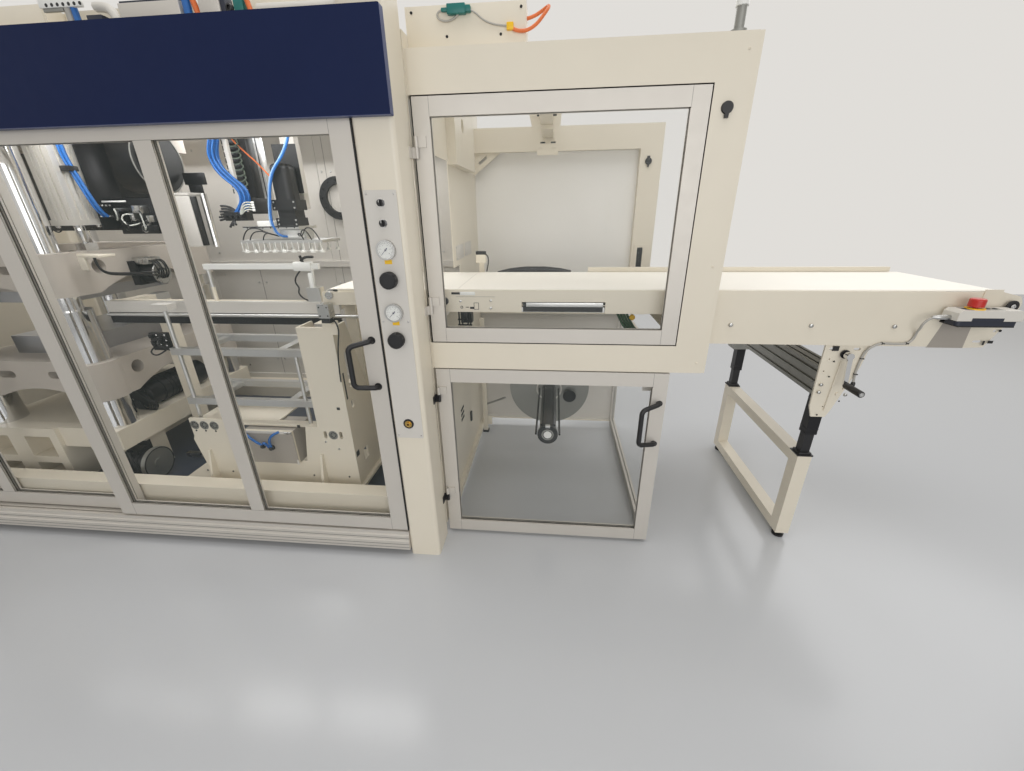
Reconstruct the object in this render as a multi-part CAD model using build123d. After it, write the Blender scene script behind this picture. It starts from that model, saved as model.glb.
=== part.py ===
from build123d import *
import math
import os

os.makedirs("parts", exist_ok=True)

# A forming machine with its delivery line: an enclosed press and stacking section on the left,
# a guarded delivery section with a cabinet below it, and an outfeed conveyor on a stand whose
# height is set with a crank. Millimetres, +X along the line to the outfeed end, +Y to the rear,
# +Z up, floor at Z = 0.

# Overall sizes
enclosure_length = 3130
enclosure_depth = 1565
enclosure_height = 2110
delivery_reach = 2215
handle_reach = 58

# Clearances
seat = 0.3
running = 0.05
door_gap = 6
panel_gap = 3

# Corner columns and sheet parts
column_width = 140
column_depth = 160
column_radius = 16
column_wall = 4
foot_plate = 10
sheet = 3
roof_drop = 80
roof_thickness = 4
duct_length = 1870

# Base frame and floor
sill_height = 262
sill_bottom = 60
sill_width = 80
cross_height = 66
cross_width = 70
cross_count = 6
floor_thickness = 4

# Header and door tracks
header_drop = 75
header_height = 265
header_proud = 28
track_bottom = 34
track_top = 130
track_skirt = 12
track_groove = 14
head_track_height = 40

# Sliding doors
door_overlap = 70
door_thickness = 30
door_bottom = 139
door_cover = 26
door_stile = 74
door_rail = 66
pane_thickness = 5
pane_bite = 8
glide_length = 60
glide_width = 8

# Handles
handle_span = 190
handle_tube = 10
handle_lean = 73
handle_z = 863
cabinet_handle_z = 560

# Control plate and what it carries
control_width = 112
control_height = 930
control_z = 637
control_thickness = 3
bezel_height = 3
stem_radius = 5
selector_radius = 11
selector_heights = (1528, 1465)
gauge_radius = 33
gauge_heights = (1380, 1162)
regulator_radius = 29
regulator_heights = (1279, 1061)
air_socket_z = 703
air_socket_radius = 9.5
air_socket_bore = 4.5

# Guard portals of the delivery section
portal_length = 1112
portal_sill = 887
portal_height = 1098
portal_depth = 50
portal_skin = 3
skin_inset = 15
rear_drop = 40
window_width = 972
window_bottom = 1003
window_height = 851
window_profile = 58
window_gap = 4
lock_radius = 17
pole_radius = 15
pole_foot_radius = 24.5
pole_sleeve_radius = 18.5
pole_sleeve_low = 66
pole_height = 124

# Cabinet below the guard
cabinet_door_bottom = 18
cabinet_door_width = 968
cabinet_profile = 60
frame_thickness = 30
hinge_pin = 4
hinge_barrel = 7
hinge_height = 34

# Scrap winder in the cabinet
winder_radius = 42
winder_z = 480
winder_length = 584
winder_flange_radius = 245
winder_journal = 20
winder_rod_radius = 5
winder_rod_offset = 58

# Outfeed conveyor
conveyor_width = 540
belt_top = 1203
belt_thickness = 3
side_thickness = 8
cover_thickness = 2
nose_start = -477
nose_radius = 22
end_radius = 30
roller_shaft = 8
tall_start = 60
cut_start = 374
cut_end = 711
deep_start = 950
deep_bottom = 989
tail_length = 264
side_low = 1108
nose_low = 1137
guide_start = 676
guide_height = 22

# Stand of the conveyor
stand_x = 1640
stand_pitch = 795
post_size = 60
post_wall = 8
post_top = 468
inner_tube = 38
inner_tube_low = 300
inner_tube_top = 640
sleeve_size = 48
sleeve_low = 575
bar_height = 50
foot_height = 30
foot_radius = 26
beam_width = 80
beam_height = 124
beam_bottom = 770
pad_height = 55

# Crank of the stand
crank_dx = 27
crank_z = 952
crank_arm = (13, -119)
grip_length = 96
grip_radius = 13

# Hand pendant at the outfeed end
pendant_length = 212
pendant_depth = 66
pendant_bottom = 1092
pendant_base = 18
pendant_height = 56
button_offset = 72
button_radius = 23
button_travel = 4
cable_radius = 4

# Forming press
press_right = 1835
press_pitch_x = 695
press_pitch_y = 800
press_front = 337
guide_upper = 50
guide_middle = 78
guide_lower = 86
boss_radius = 88
boss_lower = 102
web = 90
base_top = 463
lower_platen_z = 625
upper_platen_z = 1150
platen_height = 195
table_height = 40
crown_gap = 85
crown_height = 100
cylinder_size = 60
cylinder_length = 383
piston_rod = 20
drum_radius = 160
drum_drop = 78
pump_radius = 62
pump_disc = 90

# Stacking station
stacker_left = 1395
stacker_right = 443
stacker_front = 177
stacker_depth = 400
plate_top = 558
plate_thickness = 14
flange_thickness = 16
rail_height = 28
rail_width = 26
carriage_height = 27
post_width = 168
stack_post_top = 1035
stack_table_drop = 26
stack_table_depth = 290
stack_table_thickness = 8

# Pick-and-place head
head_drop = 600
head_width = 92
hose_radius = 6

# Working values that follow from the sizes above
left_end = -(enclosure_length + delivery_reach) / 2
end_x = left_end + enclosure_length
right_end = end_x + delivery_reach
front_y = -(enclosure_depth + handle_reach) / 2 + handle_reach
rear_y = front_y + enclosure_depth
bay_left = left_end + column_width
bay_right = end_x - column_width
floor_top = sill_bottom + cross_height + floor_thickness
roof_z = enclosure_height - roof_drop
header_bottom = enclosure_height - header_drop - header_height
door_top = header_bottom + door_cover
crown_bottom = roof_z - crown_gap - crown_height
cylinder_bottom = crown_bottom - cylinder_length
notch_start = delivery_reach - tail_length
head_z = roof_z - head_drop
door_width = (bay_right - bay_left + door_overlap) / 2 - panel_gap
door_a_y = front_y + 4
door_b_y = door_a_y + door_thickness + door_gap
track_back = door_b_y + door_thickness + 10
door_a_left = bay_right - panel_gap - door_width
door_b_left = door_a_left + door_overlap - door_width
portal_y = front_y + column_depth + 2
rear_portal_y = rear_y - column_depth - 2
portal_right = end_x + portal_length
window_left = end_x + 11
window_right = window_left + window_width
window_top = window_bottom + window_height
cabinet_right = window_left + cabinet_door_width
conveyor_near = portal_y + 75
conveyor_far = conveyor_near + conveyor_width


def block(x, y, z):
    """A box between a low and a high value along each axis."""
    size = [high - low for low, high in (x, y, z)]
    middle = [(high + low) / 2 for low, high in (x, y, z)]
    return Pos(*middle) * Box(*size)


def bar(axis, span, centre, radius):
    """A round bar along one axis; centre gives its place on the two other axes."""
    middle = (span[0] + span[1]) / 2
    if axis == "x":
        place = Pos(middle, *centre) * Rot(0, 90, 0)
    elif axis == "y":
        place = Pos(centre[0], middle, centre[1]) * Rot(90, 0, 0)
    else:
        place = Pos(*centre, middle)
    return place * Cylinder(radius, span[1] - span[0])


def prism(axis, outline, span):
    """An outline drawn on the two other axes, extruded along this one."""
    if axis == "x":
        plane = Plane(origin=(span[0], 0, 0), x_dir=(0, 1, 0), z_dir=(1, 0, 0))
    elif axis == "y":
        plane = Plane(origin=(0, span[1], 0), x_dir=(1, 0, 0), z_dir=(0, -1, 0))
    else:
        plane = Plane(origin=(0, 0, span[0]), x_dir=(1, 0, 0), z_dir=(0, 0, 1))
    return extrude(plane * outline, amount=span[1] - span[0])


def area(first, second):
    """A rectangle between two pairs of limits."""
    middle = Pos((first[0] + first[1]) / 2, (second[0] + second[1]) / 2)
    return middle * Rectangle(first[1] - first[0], second[1] - second[0])


def polygon(*points):
    """A closed outline with straight sides."""
    return make_face(Polyline(*points, close=True))


def around(middle, half):
    """The limits of a length that lies evenly on both sides of a value."""
    return (middle - half, middle + half)


def tube_along(points, bends, radius):
    """A round tube along straight runs joined by arcs."""
    path = FilletPolyline(*points, radius=bends)
    return sweep(Plane(origin=path @ 0, z_dir=path % 0) * Circle(radius), path=path), path


def bend_radii(points, share=0.45):
    """The bend radius at each inner point: a share of the shorter run over tan of half the turn."""
    radii = []
    for before, here, after in zip(points[:-2], points[1:-1], points[2:]):
        first = Vector(*here) - Vector(*before)
        second = Vector(*after) - Vector(*here)
        half_turn = math.radians(first.get_angle(second)) / 2
        radii.append(share * min(first.length, second.length) / math.tan(half_turn))
    return radii


def glazed_frame(x, y, z, stile, rail, mullions=(), mullion=0):
    """Grooved profiles round the panes: stiles at full height, rails and mullions between them."""
    pane_y = around((y[0] + y[1]) / 2, pane_thickness / 2)
    groove_y = around((y[0] + y[1]) / 2, pane_thickness / 2 + seat)
    inner_z = (z[0] + rail, z[1] - rail)
    edges = [x[0] + stile]
    for middle in mullions:
        edges += around(middle, mullion / 2)
    edges.append(x[1] - stile)
    bays = list(zip(edges[0::2], edges[1::2]))
    grow = pane_bite + seat
    panes = []
    grooves = []
    for low, high in bays:
        panes.append(block((low - pane_bite, high + pane_bite), pane_y,
                           (inner_z[0] - pane_bite, inner_z[1] + pane_bite)))
        grooves.append(block((low - grow, high + grow), groove_y, (inner_z[0] - grow, inner_z[1] + grow)))
    between = (x[0] + stile, x[1] - stile)
    members = [
        block((x[0], x[0] + stile), y, z),
        block((x[1] - stile, x[1]), y, z),
        block(between, y, (z[0], inner_z[0])),
        block(between, y, (inner_z[1], z[1])),
    ]
    members += [block(around(middle, mullion / 2), y, inner_z) for middle in mullions]
    for groove in grooves:
        members = [member - groove for member in members]
    return members, panes


def pull_handle(x, face_y, z_low):
    """A bent tube handle that leans to one side, with both ends square on the face."""
    reach = handle_reach - handle_tube + door_a_y - front_y
    z_high = z_low + handle_span
    step = 16
    drop = 14
    points = [
        (x, face_y, z_high),
        (x, face_y - step, z_high),
        (x - handle_lean, face_y - reach, z_high - drop),
        (x - handle_lean, face_y - reach, z_low + drop),
        (x, face_y - step, z_low),
        (x, face_y, z_low),
    ]
    return tube_along(points, [15, 22, 22, 15], handle_tube)[0]


# Corner columns: folded box sections, closed at the foot and open at the top

control_x = bay_right + 11 + control_width / 2


def corner_column(x, y):
    middle = Pos(x + column_width / 2, y + column_depth / 2)
    outer = middle * RectangleRounded(column_width, column_depth, column_radius)
    inner = middle * RectangleRounded(
        column_width - 2 * column_wall, column_depth - 2 * column_wall, column_radius - column_wall
    )
    return prism("z", outer, (0, enclosure_height)) - prism("z", inner, (foot_plate, enclosure_height))


def columns():
    control = corner_column(bay_right, front_y)
    wall = (front_y - 1, front_y + column_wall + 1)
    for z in selector_heights + regulator_heights:
        control -= bar("y", wall, (control_x, z), stem_radius + 7)
    control -= bar("y", wall, (control_x, air_socket_z), air_socket_radius + 6)
    rear = rear_y - column_depth
    return [
        control,
        corner_column(left_end, front_y),
        corner_column(left_end, rear),
        corner_column(bay_right, rear),
    ]


# Base frame: front and rear sills between the columns, cross members, and the floor plate

sill_front = door_b_y + door_thickness + 12
sill_rear = rear_y - 60


def base_frame():
    z = (sill_bottom, sill_height)
    members = [
        block((bay_left, bay_right), (sill_front, sill_front + sill_width), z),
        block((bay_left, bay_right), (sill_rear - sill_width, sill_rear), z),
    ]
    pitch = (bay_right - bay_left - cross_width) / (cross_count - 1)
    for index in range(cross_count):
        left = bay_left + index * pitch
        members.append(block(
            (left, left + cross_width),
            (sill_front + sill_width, sill_rear - sill_width),
            (sill_bottom, sill_bottom + cross_height),
        ))
    return members


def floor_plate():
    y = (sill_front + sill_width, sill_rear - sill_width)
    return block((bay_left, bay_right), y, (floor_top - floor_thickness, floor_top))


# Walls: end walls with the film inlet and the delivery opening, roof, rear panels, header

delivery_low = 1040
delivery_high = 1235
delivery_top = 1713
inlet_z = (1040, 1170)


def enclosure_walls():
    y = (front_y + column_depth, rear_y - column_depth)
    z = (sill_bottom, roof_z)
    right = block((end_x - sheet, end_x), y, z)
    near = conveyor_near - 35
    through = (end_x - 2 * sheet, end_x + sheet)
    right -= block(through, (near, near + 469), (delivery_low, delivery_top))
    right -= block(through, (near, conveyor_far + 35), (delivery_low, delivery_high))
    left = block((left_end, left_end + sheet), y, z)
    left -= block((left_end - sheet, left_end + 2 * sheet), (y[0] + 60, y[1] - 60), inlet_z)
    roof = block((left_end, end_x), (front_y, rear_y), (roof_z, roof_z + roof_thickness))
    for x in (left_end, bay_right):
        for edge in (front_y, rear_y - column_depth):
            corner = (edge, edge + column_depth)
            roof -= block((x, x + column_width), corner, (roof_z - 1, roof_z + roof_thickness + 1))
    return [right, left, roof]


def rear_panels():
    """Six lift-off panels with folded rims in two rows, on three rails, and a round vent ring."""
    parts = []
    rows = (sill_height + 20, 1160, roof_z - 36)
    count = 3
    pitch = (bay_right - bay_left) / count
    rim = 12
    inner = rear_y - 40
    for index in range(count):
        x = (bay_left + index * pitch + panel_gap / 2, bay_left + (index + 1) * pitch - panel_gap / 2)
        for low, high in zip(rows[:-1], rows[1:]):
            z = (low + panel_gap / 2, high - panel_gap / 2)
            pocket = block((x[0] + sheet, x[1] - sheet), (inner + sheet, inner + rim + 1),
                           (z[0] + sheet, z[1] - sheet))
            parts.append(block(x, (inner, inner + rim), z) - pocket)
    for z in (rows[0] - 4, rows[1], rows[2] + 4):
        parts.append(block((bay_left, bay_right), (inner - 20, inner), around(z, 20)))
    ring_x = end_x - 960
    ring = bar("y", (inner - 26, inner), (ring_x, 1590), 135)
    ring -= bar("y", (inner - 27, inner + 1), (ring_x, 1590), 88)
    for index in range(12):
        spot = Vector(112, 0, 0).rotate(Axis.Z, index * 30)
        ring -= bar("y", (inner - 27, inner - 18), (ring_x + spot.X, 1590 + spot.Y), 8)
    return parts + [ring]


def header_panel():
    """A folded tray in front of the doors' upper edge, open at its back."""
    x = (left_end, end_x + 2)
    z = (header_bottom, header_bottom + header_height)
    face = Pos(sum(x) / 2, sum(z) / 2) * RectangleRounded(x[1] - x[0], header_height, 4)
    outer = prism("y", face, (front_y - header_proud, front_y))
    pocket_y = (front_y - header_proud + sheet, front_y + 1)
    return outer - block((x[0] + sheet, x[1] - sheet), pocket_y, (z[0] + sheet, z[1] - sheet))


def roof_duct():
    """A slotted cable duct along the roof, with two closed junction boxes on it."""
    x = (bay_left + 30, bay_left + 30 + duct_length)
    y = (front_y + 40, front_y + 110)
    z = (roof_z + roof_thickness, roof_z + roof_thickness + 68)
    duct = block(x, y, z) - block((x[0] + 2, x[1] - 2), (y[0] + 2, y[1] - 2), (z[0] + 2, z[1] - 2))
    pitch = 40
    slots = [
        block(around(x[0] + pitch * (index + 1), 5), (y[0] - 1, y[1] + 1), (z[0] + 22, z[1] - 12))
        for index in range(int((x[1] - x[0]) / pitch) - 1)
    ]
    duct -= slots
    boxes = [block((left, left + 320), (y[1] + 80, y[1] + 280), (z[0], z[0] + 60))
             for left in (x[0] + 120, x[0] + 900)]
    return [duct] + boxes


def track_slots(z):
    """The two grooves that the doors' glides run in."""
    slots = []
    for door_y in (door_a_y, door_b_y):
        middle = door_y + door_thickness / 2
        slots.append(block((bay_left - 1, bay_right + 1), around(middle, glide_width / 2 + seat), z))
    return slots


def door_tracks():
    """The stepped bottom track and the head track, each with two grooves."""
    skirt = front_y - track_skirt
    step = front_y - track_skirt / 2
    outline = polygon(
        (skirt, track_bottom), (skirt, 80), (step, 84), (step, 108), (front_y, 112), (front_y, track_top),
        (track_back, track_top), (track_back, track_bottom),
    )
    bottom = prism("x", outline, (bay_left, bay_right))
    bottom -= track_slots((track_top - track_groove, track_top + 1))
    low = door_top + panel_gap
    head = block((bay_left, bay_right), (front_y, track_back), (low, low + head_track_height))
    return [bottom, head - track_slots((low - 1, low + track_groove))]


def sliding_door(left, y):
    """A two-pane sliding door with glides that run in the tracks."""
    x = (left, left + door_width)
    middle = left + door_width / 2 + 4
    frame, panes = glazed_frame(x, (y, y + door_thickness), (door_bottom, door_top), door_stile, door_rail,
                                (middle,), door_rail)
    across = around(y + door_thickness / 2, glide_width / 2)
    for start in (x[0] + 40, x[1] - 40 - glide_length):
        along = (start, start + glide_length)
        frame.append(block(along, across, (track_top - track_groove + seat, door_bottom)))
        frame.append(block(along, across, (door_top, door_top + panel_gap + track_groove - seat)))
    return frame, panes


def with_finger_cup(frame):
    """A shallow finger cup let into the left stile of the rear door."""
    cup = Pos(door_b_left + door_stile / 2, 980) * SlotOverall(150, 34, rotation=90)
    frame[0] -= prism("y", cup, (door_b_y - 1, door_b_y + 9))
    return frame


# Control plate on the right front column

plate_y = front_y - control_thickness


def control_plate():
    outline = Pos(control_x, control_z + control_height / 2) * RectangleRounded(
        control_width, control_height, 4
    )
    plate = prism("y", outline, (plate_y, front_y))
    through = (plate_y - bezel_height - 1, front_y + 1)
    for z in selector_heights + regulator_heights:
        plate -= bar("y", through, (control_x, z), stem_radius + running)
    plate -= bar("y", through, (control_x, air_socket_z), air_socket_radius + seat)
    bezels = []
    for z in selector_heights:
        bezel = bar("y", (plate_y - bezel_height, plate_y), (control_x, z), selector_radius + 3)
        bezels.append(bezel - bar("y", through, (control_x, z), stem_radius + running))
    screws = [
        bar("y", (plate_y - 2, plate_y), (control_x + side * (control_width / 2 - 9), z), 3.5)
        for side in (-1, 1)
        for z in (control_z + 9, control_z + control_height / 2, control_z + control_height - 9)
    ]
    return [plate] + bezels + screws


def selector(z):
    """A round selector knob with a raised grip bar and its stem."""
    base = plate_y - bezel_height - seat
    knob = bar("y", (base - 8, base), (control_x, z), selector_radius)
    grip = block(around(control_x, 3.5), (base - 17, base - 7), around(z, selector_radius - 1))
    return knob + grip + bar("y", (base, front_y + 14), (control_x, z), stem_radius)


def gauges():
    """Two round dial gauges with a raised rim and a needle boss."""
    shapes = []
    for z in gauge_heights:
        case = bar("y", (plate_y - 16, plate_y), (control_x, z), gauge_radius)
        case -= bar("y", (plate_y - 17, plate_y - 12), (control_x, z), gauge_radius - 5)
        shapes.append(case + bar("y", (plate_y - 14, plate_y - 11), (control_x, z), 4))
    return shapes


def regulator(z):
    """A pressure regulator knob: a fluted cap on a collar, with its stem."""
    base = plate_y - seat
    cap = bar("y", (base - 32, base - 6), (control_x, z), regulator_radius)
    cap = chamfer(cap.edges().filter_by(GeomType.CIRCLE).sort_by(Axis.Y)[0], 3)
    flutes = 10
    for index in range(flutes):
        spot = Vector(regulator_radius + 1, 0, 0).rotate(Axis.Z, index * 360 / flutes)
        cap -= bar("y", (base - 33, base - 9), (control_x + spot.X, z + spot.Y), 3)
    collar = bar("y", (base - 6, base), (control_x, z), regulator_radius - 5)
    return cap + collar + bar("y", (base, front_y + 14), (control_x, z), stem_radius)


def air_socket():
    """A brass quick-coupling socket let into the control plate, open at its mouth."""
    body = bar("y", (plate_y - 9, front_y + 22), (control_x, air_socket_z), air_socket_radius)
    flange = bar("y", (plate_y - 4, plate_y), (control_x, air_socket_z), air_socket_radius + 5)
    return body + flange - bar("y", (plate_y - 10, front_y + 6), (control_x, air_socket_z), air_socket_bore)


# Guard portals: a box frame open to the left, with a thin skin on its outer face

def lock_place(drop):
    return (window_right + portal_right) / 2 - 12, window_top - drop - 64


def portal(outer_y, inner_y, skin_y, drop):
    """Three box beams in a C and the skin on them, with the bore of the lock."""
    z = (portal_sill - drop, portal_sill + portal_height - drop)
    hole_z = (window_bottom - drop - window_gap, window_top - drop + window_gap)
    hole_right = window_right + window_gap
    y = sorted((outer_y, inner_y))
    skin = area((end_x + 7, portal_right - skin_inset), z) - area((end_x + 6, hole_right), hole_z)
    shapes = [
        block((end_x, portal_right), y, (hole_z[1], z[1])),
        block((end_x, portal_right), y, (z[0], hole_z[0])),
        block((hole_right, portal_right), y, hole_z),
        prism("y", skin, sorted((outer_y, skin_y))),
    ]
    bore = bar("y", (min(y[0], skin_y) - 1, max(y[1], skin_y) + 1), lock_place(drop), 6 + running)
    return [shape - bore for shape in shapes]


def guard_portal():
    beam_y = portal_y + portal_skin
    return portal(beam_y, beam_y + portal_depth, portal_y, 0)


def rear_portal():
    """The rear portal with its closed infill panel, an oval bead and a slotted sensor cover."""
    beam_y = rear_portal_y - portal_skin
    shapes = portal(beam_y, beam_y - portal_depth, rear_portal_y, rear_drop)
    z = (window_bottom - rear_drop - window_gap, window_top - rear_drop + window_gap)
    infill = block((end_x, window_right + window_gap), (beam_y - sheet, beam_y), z)
    bead = Pos(window_right - 150, 1460)
    bead = bead * SlotOverall(200, 26, rotation=90) - bead * SlotOverall(184, 10, rotation=90)
    infill += prism("y", bead, (beam_y - sheet - 2, beam_y - sheet))
    inner_y = beam_y - portal_depth
    cover = Pos(window_right + 60, 1216) * (Rectangle(80, 150) - SlotOverall(120, 28, rotation=90))
    return shapes + [infill, prism("y", cover, (inner_y - 4, inner_y))]


def lock(outer_y, outward, inner_y, drop):
    """A round quarter-turn lock with a short thumb tab outside and a cam behind the frame."""
    x, z = lock_place(drop)
    near = outer_y + outward * seat
    head_y = sorted((near, near + outward * 8))
    cam_y = sorted((inner_y - outward * seat, inner_y - outward * (seat + 4)))
    head = bar("y", head_y, (x, z), lock_radius)
    tab = block(around(x, 6), head_y, (z - lock_radius - 12, z))
    stem = bar("y", sorted((near, inner_y - outward * seat)), (x, z), 6)
    return head + tab + stem + block(around(x, 8), cam_y, (z - 10, z + 30))


def guard_ties():
    """Tie beam, hanging bracket, corner gusset and the upright on the end wall."""
    inner = (portal_y + portal_skin + portal_depth, rear_portal_y - portal_skin - portal_depth)
    top = portal_sill + portal_height
    tie_x = end_x + 450
    tie = block(around(tie_x, 30), inner, (top - rear_drop - 60, top - rear_drop))
    plate_back = portal_y + 775
    outline = polygon(
        (tie_x - 90, top - 40), (tie_x + 72, top - 40), (tie_x + 58, top - 232), (tie_x - 44, top - 232)
    )
    outline -= Pos(tie_x + 6, top - 150) * RectangleRounded(82, 62, 5)
    for dx in (-38, 34):
        outline -= Pos(tie_x + dx + 6, top - 204) * SlotOverall(24, 9)
    bracket = prism("y", outline, (plate_back - 6, plate_back)) - tie
    low = window_top - rear_drop + window_gap
    gusset = polygon((end_x, low), (end_x + 168, low), (end_x, low - 122))
    gusset -= Pos(end_x + 58, low - 40) * SlotOverall(60, 16, rotation=36)
    gusset = prism("y", gusset, (inner[1] + 12, inner[1] + 20))
    upright = block((end_x, end_x + 42), (portal_y + 525, portal_y + 1005), (delivery_top - 13, top + 5))
    upright -= bar("x", (end_x + 20, end_x + 43), (portal_y + 700, top - 106), 30)
    cap = block((end_x, end_x + 60), (portal_y + 500, portal_y + 1030), (top + 5, top + 11))
    return [tie, bracket, gusset, upright, cap, signal_pole()] + conveyor_guides()


def signal_pole():
    """The foot and lower length of the signal pole on the near portal's top, closed by a cap."""
    low = portal_sill + portal_height
    place = (portal_right - 70, portal_y + portal_skin + portal_depth / 2)
    pole = bar("z", (low, low + 8), place, pole_foot_radius)
    pole += bar("z", (low, low + pole_sleeve_low), place, pole_radius)
    top = bar("z", (low + pole_sleeve_low, low + pole_height), place, pole_sleeve_radius)
    return pole + fillet(top.edges().filter_by(GeomType.CIRCLE).group_by(Axis.Z)[-1], 6)


def conveyor_guides():
    """Two short angles on the end wall's inner face, below the belt, that guide the conveyor."""
    wall = end_x - sheet
    z = (delivery_low + 10, belt_top - 28)
    guides = []
    for face, outward in ((conveyor_near, -1), (conveyor_far, 1)):
        start = face + outward * seat
        flange = block((wall - 6, wall), sorted((start, start + outward * 75)), z)
        guides.append(flange + block((wall - 50, wall), sorted((start, start + outward * 6)), z))
    return guides


# Hinges: a fixed block with a pin on the column, and a knuckle on each door that turns on it

hinge_x = window_left + hinge_barrel
hinge_y = portal_y - hinge_barrel - 2
window_hinges = (window_bottom + 150, window_top - 150)
cabinet_hinges = (cabinet_door_bottom + 222, portal_sill - 120)


def hinge_pins():
    shapes = []
    for z in window_hinges + cabinet_hinges:
        leaf_z = (z - hinge_height, z - seat)
        leaf = block((end_x, end_x + 4), (hinge_y - 34, hinge_y), leaf_z)
        arm = block((end_x, hinge_x), around(hinge_y, 5), leaf_z)
        barrel = bar("z", leaf_z, (hinge_x, hinge_y), hinge_barrel)
        pin = bar("z", (z - seat, z + hinge_height - 2), (hinge_x, hinge_y), hinge_pin)
        shapes.append(leaf + arm + barrel + pin)
    return shapes


def knuckle(z):
    """The door's half of a hinge."""
    span = (z, z + hinge_height)
    barrel = bar("z", span, (hinge_x, hinge_y), hinge_barrel)
    leaf = block((hinge_x, hinge_x + 34), (portal_y - 6, portal_y), span)
    bore = bar("z", (z - 1, z + hinge_height + 1), (hinge_x, hinge_y), hinge_pin + running)
    return barrel + leaf - bore


def window_door():
    x = (window_left, window_right)
    y = (portal_y, portal_y + frame_thickness)
    frame, panes = glazed_frame(x, y, (window_bottom, window_top), window_profile, window_profile)
    return frame + [knuckle(z) for z in window_hinges], panes


def cabinet_door():
    x = (window_left, cabinet_right)
    y = (portal_y, portal_y + frame_thickness)
    z = (cabinet_door_bottom, portal_sill - 5)
    return glazed_frame(x, y, z, cabinet_profile, cabinet_profile)


def cabinet_handle():
    """The cabinet door's handle and its hinge knuckles."""
    tube = pull_handle(cabinet_right - cabinet_profile / 2, portal_y, cabinet_handle_z)
    return [tube] + [knuckle(z) for z in cabinet_hinges]


def cabinet_side():
    """The glazed right side of the cabinet, front to rear below the portals."""
    rail = portal_depth
    y = (portal_y + frame_thickness + 3, rear_portal_y - portal_skin)
    z = (cabinet_door_bottom - 10, portal_sill)
    x = (cabinet_right - 32, cabinet_right - 2)
    inner_y = (y[0] + rail, y[1] - rail)
    members = [
        block(x, (y[0], inner_y[0]), (0, z[1])),
        block(x, (inner_y[1], y[1]), (0, z[1] - rear_drop)),
        block(x, inner_y, (z[0], z[0] + rail)),
        block(x, inner_y, (z[1] - rail, z[1])),
    ]
    middle = sum(x) / 2
    grow = pane_bite + seat
    groove = block(around(middle, pane_thickness / 2 + seat), (inner_y[0] - grow, inner_y[1] + grow),
                   (z[0] + rail - grow, z[1] - rail + grow))
    pane = block(around(middle, pane_thickness / 2), (inner_y[0] - pane_bite, inner_y[1] + pane_bite),
                 (z[0] + rail - pane_bite, z[1] - rail + pane_bite))
    return [member - groove for member in members], pane


# Scrap winder: a ribbed shaft with a flange disc, in a bearing on the cabinet's rear panel

winder_x = end_x + 491
winder_y = portal_y + 191
winder_end = rear_portal_y - 28
bearing_depth = 70
flange_y = winder_y + winder_length


def cabinet_panels():
    """The cabinet's rear panel with a folded foot, the left ledge, and the winder's bearing."""
    low = rear_drop
    back = winder_end + sheet
    rear = block((end_x, cabinet_right - 34), (winder_end, back), (low, portal_sill - rear_drop))
    foot = block((end_x, cabinet_right - 34), (winder_end - 30, winder_end), (low, low + 6))
    ledge = block((end_x, end_x + 24), (portal_y + 60, winder_end - 30), (low + 6, low + 36))
    housing = block(around(winder_x, 55), (winder_end - bearing_depth, winder_end), around(winder_z, 55))
    housing -= bar("y", (winder_end - bearing_depth - 1, winder_end - 10), (winder_x, winder_z),
                   winder_journal + running)
    shelf = block(around(winder_x, 150), (winder_end - 14, winder_end), (winder_z - 95, winder_z - 55))
    return [rear, foot, ledge, housing, shelf]


def winder_shaft():
    centre = (winder_x, winder_z)
    shaft = bar("y", (winder_y, flange_y + 60), centre, winder_radius)
    rib_y = (winder_y + 30, flange_y - 60)
    for index in range(4):
        rib = block(around(0, 6), rib_y, (winder_radius - 6, winder_radius + 6))
        shaft += Pos(winder_x, 0, winder_z) * Rot(0, 45 + 90 * index, 0) * rib
    cap = bar("y", (winder_y - 16, winder_y), centre, winder_radius + 8)
    cap -= bar("y", (winder_y - 17, winder_y - 8), centre, 14)
    rod_y = (winder_y - 10, flange_y - 30)
    rods = [
        bar("y", rod_y, (winder_x + side * winder_rod_offset, winder_z), winder_rod_radius)
        for side in (-1, 1)
    ]
    return [shaft + cap + bar("y", (flange_y + 60, winder_end - 12), centre, winder_journal)] + rods


def winder_flange():
    centre = (winder_x, winder_z)
    disc = bar("y", (flange_y, flange_y + 8), centre, winder_flange_radius)
    hub = bar("y", (flange_y - 30, flange_y), centre, winder_radius + 22)
    return disc + hub - bar("y", (flange_y - 31, flange_y + 9), centre, winder_radius + running)


# Outfeed conveyor

belt_bed = belt_top - belt_thickness
near_plate = (conveyor_near, conveyor_near + side_thickness)
far_plate = (conveyor_far - side_thickness, conveyor_far)
belt_y = (near_plate[1] + 3, far_plate[0] - 17)
nose_x = end_x + nose_start
nose_roller = (nose_x + 34, belt_bed - nose_radius)
end_roller = (right_end - 42, belt_bed - end_radius - 20)


def side_outline(simple):
    """A side plate seen from the front: low at the nose, stepped, cut out, then deep."""
    right = right_end - end_x
    upper = [
        (nose_start, belt_bed - 14), (nose_start + 6, belt_bed - 8), (tall_start - 4, belt_bed - 8),
        (tall_start, belt_bed), (right - 80, belt_bed), (right - 14, belt_bed - 16),
        (right - 3, belt_bed - 34), (right, belt_bed - 52), (right - 6, belt_bed - 72),
        (right - 24, belt_bed - 90), (notch_start + 30, belt_bed - 100), (notch_start, deep_bottom),
        (deep_start, deep_bottom), (deep_start, side_low),
    ]
    cut = [
        (cut_end, side_low), (cut_end, side_low + 46), (cut_start, side_low + 46),
        (cut_start, side_low + 3),
    ]
    lower = [(tall_start - 6, side_low + 3), (tall_start - 22, nose_low), (nose_start + 16, nose_low),
             (nose_start, nose_low + 14)]
    points = upper + lower if simple else upper + cut + lower
    return polygon(*[(end_x + x, z) for x, z in points])


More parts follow.
